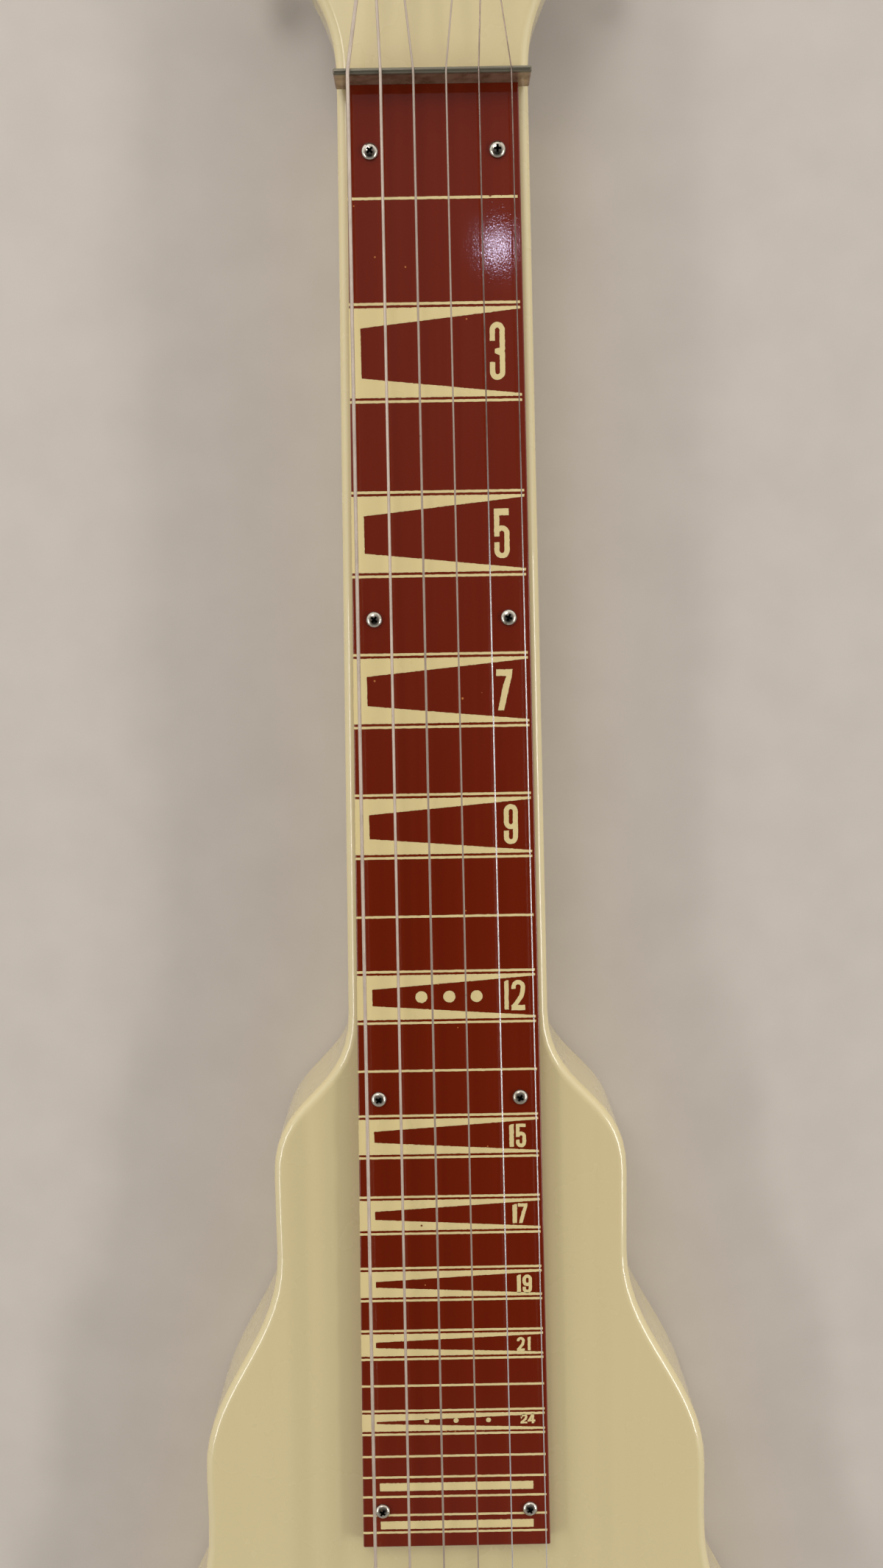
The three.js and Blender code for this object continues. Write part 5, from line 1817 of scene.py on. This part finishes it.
hand_rest()
feet = {
    # places across, place along, radius of the heads, seed
    "tailpiece_screws": (
        (tail_low.x + tail_foot / 2, tail_high.x - tail_foot / 2), (tail_low.y + tail_high.y) / 2,
        2.2 * mm, 11),
    "nut_screws": ((-20 * mm, 18.5 * mm), nut_high.y - 2 * mm, 1.7 * mm, 13),
    "bridge_screws": (
        (bridge_shift - 23.6 * mm, bridge_shift, bridge_shift + 23.6 * mm), bridge_low.y + 6 * mm,
        2.2 * mm, 12),
}
for name, (places, y, radius, seed) in feet.items():
    screws(name, [Vector((x, y, foot_top)) for x in places], radius, seed=seed)
print("hand rest", round((rest_high.z - deck) / mm), "mm tall")

# %% [markdown]
# The knobs are moulded with twelve flutes, a skirt and a slightly hollow top. Every ring of points
# gets its radius from the flutes' cosine, weighted by how deep they are at that level.

# %% Knobs
flute_count, flute_depth = 12, 0.7 * mm


def knob(use):
    low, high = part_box(f"{use}_knob")
    middle, skirt = (low + high) / 2, (high.x - low.x) / 2
    grip = skirt - 2 * mm
    rows = [
        # radius, level, share of the flutes' depth
        (skirt - 0.4 * mm, low.z, 0), (skirt, low.z + 0.4 * mm, 0), (skirt, low.z + 1.6 * mm, 0),
        (skirt - 0.35 * mm, low.z + 2.2 * mm, 0), (grip + 0.5 * mm, low.z + 3.4 * mm, 0),
        (grip + 0.1 * mm, low.z + 4 * mm, 0.4), (grip, low.z + 4.6 * mm, 1),
        (grip - 0.25 * mm, high.z - 1.5 * mm, 1), (grip - 0.5 * mm, high.z - 0.7 * mm, 0.9),
        (grip - 1 * mm, high.z - 0.2 * mm, 0.6), (grip - 1.6 * mm, high.z, 0.2),
        (grip - 2.4 * mm, high.z - 0.1 * mm, 0), (grip - 4 * mm, high.z - 0.5 * mm, 0),
        (2 * mm, high.z - 0.65 * mm, 0),
    ]
    rings = []
    for radius, level, share in rows:
        ring = []
        for angle in round_angles(12 * flute_count):
            hollow = (0.5 - 0.5 * math.cos(flute_count * angle)) * flute_depth * share
            ring.append(Vector((
                middle.x + (radius - hollow) * math.cos(angle),
                middle.y + (radius - hollow) * math.sin(angle), level)))
        rings.append(ring)
    thing = new_object(f"{use}_fluted_knob", skinned(rings))
    nut_radius, nut_height, shaft_hole, top_wall = 6.75 * mm, 3.05 * mm, 3.1 * mm, 2.4 * mm
    nut_room = standing(middle, cylinder(nut_radius, low.z - 1 * mm, low.z + nut_height, 48))
    bore = standing(middle, cylinder(shaft_hole, low.z, high.z - top_wall))
    body = f"{use}_control"
    finished(carved(thing, [nut_room, bore]), ivory, body, [f"{use}_knob"])
    mark = rounded_block(
        (middle.x - 0.35 * mm, middle.y + 2.4 * mm, high.z - 1 * mm),
        (middle.x + 0.35 * mm, middle.y + 8.2 * mm, high.z - 0.03 * mm), 0.3 * mm, 0.08 * mm)
    finished(new_object(f"{use}_mark", mark), black, body)
    dressed(f"{use}_pot", steel)
    dressed(f"{use}_shaft", brass)


for use in ("volume", "tone"):
    knob(use)
dressed("capacitor", dipped_brown)
print("knobs with", flute_count, "flutes")

# %% [markdown]
# On the back a plastic plate closes the space of the controls. Its screws sit in counterbores, so
# that nothing stands out below the plate.

# %% Control cover
plate_low, plate_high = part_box("control_cover")


def control_cover():
    shape = rounded_block(plate_low, plate_high, plate_corner, 0, 0.5 * mm)
    inset_by, from_middle, bore_radius, bore_depth = 2.7 * mm, 32 * mm, 2 * mm, 1.3 * mm
    middle = (plate_low + plate_high) / 2
    places = [(middle.x, plate_low.y + inset_by), (middle.x, plate_high.y - inset_by)]
    for x in (plate_low.x + inset_by, plate_high.x - inset_by):
        places += [(x, middle.y + way * from_middle) for way in (-1, 1)]
    seat = plate_low.z + bore_depth
    bores = [standing(spot, cylinder(bore_radius, plate_low.z - 1 * mm, seat, 28)) for spot in places]
    plate = carved(new_object("control_plate", shape), bores)
    finished(plate, black, replaces=["control_cover"])
    seats = [Vector((x, y, seat)) for x, y in places]
    screws("control_plate_screws", seats, 1.7 * mm, tilt=(math.pi, 0, 0), seed=21)


control_cover()
print("control cover", round((plate_high.y - plate_low.y) / mm), "mm long")

# %% [markdown]
# The socket for the cable looks out of a round plate in the side. Its threaded barrel carries a
# chamfered hexagon nut, and the inner block with the springs stays hidden.

# %% Jack socket
socket_low, socket_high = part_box("jack_socket")
washer_low, washer_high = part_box("jack_plate")


def jack_socket():
    spot = Vector((socket_low.x, middle_of("jack_plate").y, middle_of("jack_plate").z))
    depth = socket_high.x - socket_low.x
    seat = washer_high.x - socket_low.x
    bore, thread, bottom, pitch = 3.3 * mm, 4.9 * mm, 1.4 * mm, 0.5 * mm
    profile = [(0, 0), (thread - 0.3 * mm, 0)]
    level = seat - 8 * mm
    while level < depth - pitch:
        profile += [(thread - pitch / 2, level), (thread, level + pitch / 2)]
        level += pitch
    profile += [(thread - 0.4 * mm, depth), (bore + 0.3 * mm, depth), (bore, depth - 0.3 * mm)]
    barrel = turned(profile + [(bore, bottom), (0, bottom)], 48)
    nut_radius, nut_height = 6.6 * mm, 2 * mm
    flat = [Vector((nut_radius * math.cos(a), nut_radius * math.sin(a))) for a in round_angles(6)]
    nut = slab(flat, seat, seat + nut_height, 0, 0.35 * mm, steps=3)
    half = (socket_high.y - socket_low.y) / 2
    block = slab(rounded_rectangle((0, 0), half, half, 1 * mm), 0, 12 * mm, 0.3 * mm, 0.3 * mm)
    shapes = [lying(spot, (1, 0, 0), shape) for shape in (barrel, nut, block)]
    thing = carved(new_object("output_socket", shapes[0]), shapes[1:], operation="UNION")
    hole = lying(spot, (1, 0, 0), cylinder(bore, bottom, depth + 2 * mm))
    finished(carved(thing, [hole]), nickel, replaces=["jack_socket"])


def jack_plate():
    spot = Vector((washer_low.x, middle_of("jack_plate").y, middle_of("jack_plate").z))
    radius, thick = (washer_high.y - washer_low.y) / 2, washer_high.x - washer_low.x
    profile = [(5.2 * mm, 0), (radius, 0)] + rounded_corner(radius, thick, 0.6 * mm, -1)
    profile += [(5.2 * mm, thick)]
    shape = lying(spot, (1, 0, 0), turned(profile, 64))
    finished(new_object("socket_plate", shape), nickel, replaces=["jack_plate"])
    seats = []
    screw_circle = 9.2 * mm
    for angle in (90, 210, 330):
        turn = math.radians(angle)
        seats.append(spot + Vector((
            thick, screw_circle * math.cos(turn), screw_circle * math.sin(turn))))
    screws("socket_plate_screws", seats, 1.5 * mm, tilt=(0, math.pi / 2, 0), seed=31)


jack_socket()
jack_plate()
print("jack socket ready")

# %% [markdown]
# The floor is one plain pale sheet. It isn't part of the object.

# %% Floor


def floor_material():
    finish = Finish("pale_floor", Roughness=0.9, Specular_IOR_Level=0.1)
    finish.link("Base Color", finish.mix(
        finish.effect("clouds", Per_metre=40.0), srgb(197, 189, 181), srgb(193, 185, 177)))
    return finish.material


floor = new_object("floor", slab(rounded_rectangle((0, 0), 15, 15, 1), -20 * mm, -0.2 * mm))
floor.data.materials.append(floor_material())
print("floor ready")

# %% [markdown]
# Soft light comes from all round a pale room, most of it from beyond the headstock. Overhead the
# room is dark, as that is what the glossy board mirrors; towards the headstock it is paler and mists
# the upper board. Two long lamps draw thin bright lines along the rounded edges, the right one also
# a soft shadow beside the board. A wide lamp beyond the headstock lights the upper end, and one small
# lamp makes the sparkle near the nut.

# %% Light


def room():
    world = bpy.data.worlds.new("room")
    scene.world = world
    world.use_nodes = True
    tree = world.node_tree
    background = tree.nodes["Background"]
    direction = place(tree, "ShaderNodeTexCoord").outputs["Generated"]
    parts = place(tree, "ShaderNodeSeparateXYZ", {"Vector": direction})
    beyond = ramp(tree, parts.outputs["Y"], -0.2, 0.4)
    overhead = mixed(tree, beyond, (0.012, 0.012, 0.012, 1), (0.25, 0.23, 0.23, 1))
    headward = ramp(tree, parts.outputs["Y"], -0.7, 0.7)
    walls = mixed(tree, headward, (0.5, 0.49, 0.48, 1), (1.4, 1.38, 1.34, 1))
    around = ramp(tree, parts.outputs["Z"], 0.86, 0.5)
    tree.links.new(mixed(tree, around, overhead, walls), background.inputs["Color"])
    background.inputs["Strength"].default_value = 1.2


def lamp(name, spot, target, size, watts, colour):
    data = bpy.data.lights.new(name, "AREA")
    data.shape = "RECTANGLE"
    data.size, data.size_y = size
    data.energy = watts
    data.color = colour
    thing = bpy.data.objects.new(name, data)
    thing.location = spot
    thing.rotation_euler = (Vector(target) - Vector(spot)).to_track_quat("-Z", "Y").to_euler()
    scene.collection.objects.link(thing)


room()
lamps = {
    # place, target, size, watts, colour
    "left_lamp": ((-2.2, -0.6, 1.6), (0, -0.1, 0), (1.6, 0.24), 15, (1, 0.99, 0.97)),
    "right_lamp": ((2.2, -0.5, 1.4), (0, -0.1, 0), (1.6, 0.28), 22, (1, 0.98, 0.94)),
    "head_lamp": ((-0.3, 0.8, 0.85), (0, 0.2, 0), (0.4, 0.4), 2.9, (1, 0.98, 0.96)),
    "small_lamp": ((0.092, 0.614, 1.49), (0.02, 0.2, 0.045), (0.02, 0.02), 0.07, (0.8, 0.76, 1)),
}
for name, values in lamps.items():
    lamp(name, *values)
scene.view_settings.view_transform = "Standard"
print("lights:", len(bpy.data.lights))

# %% [markdown]
# The helper that the screws were copied from is taken away.

# %% Finish
bpy.data.objects.remove(screw_model)
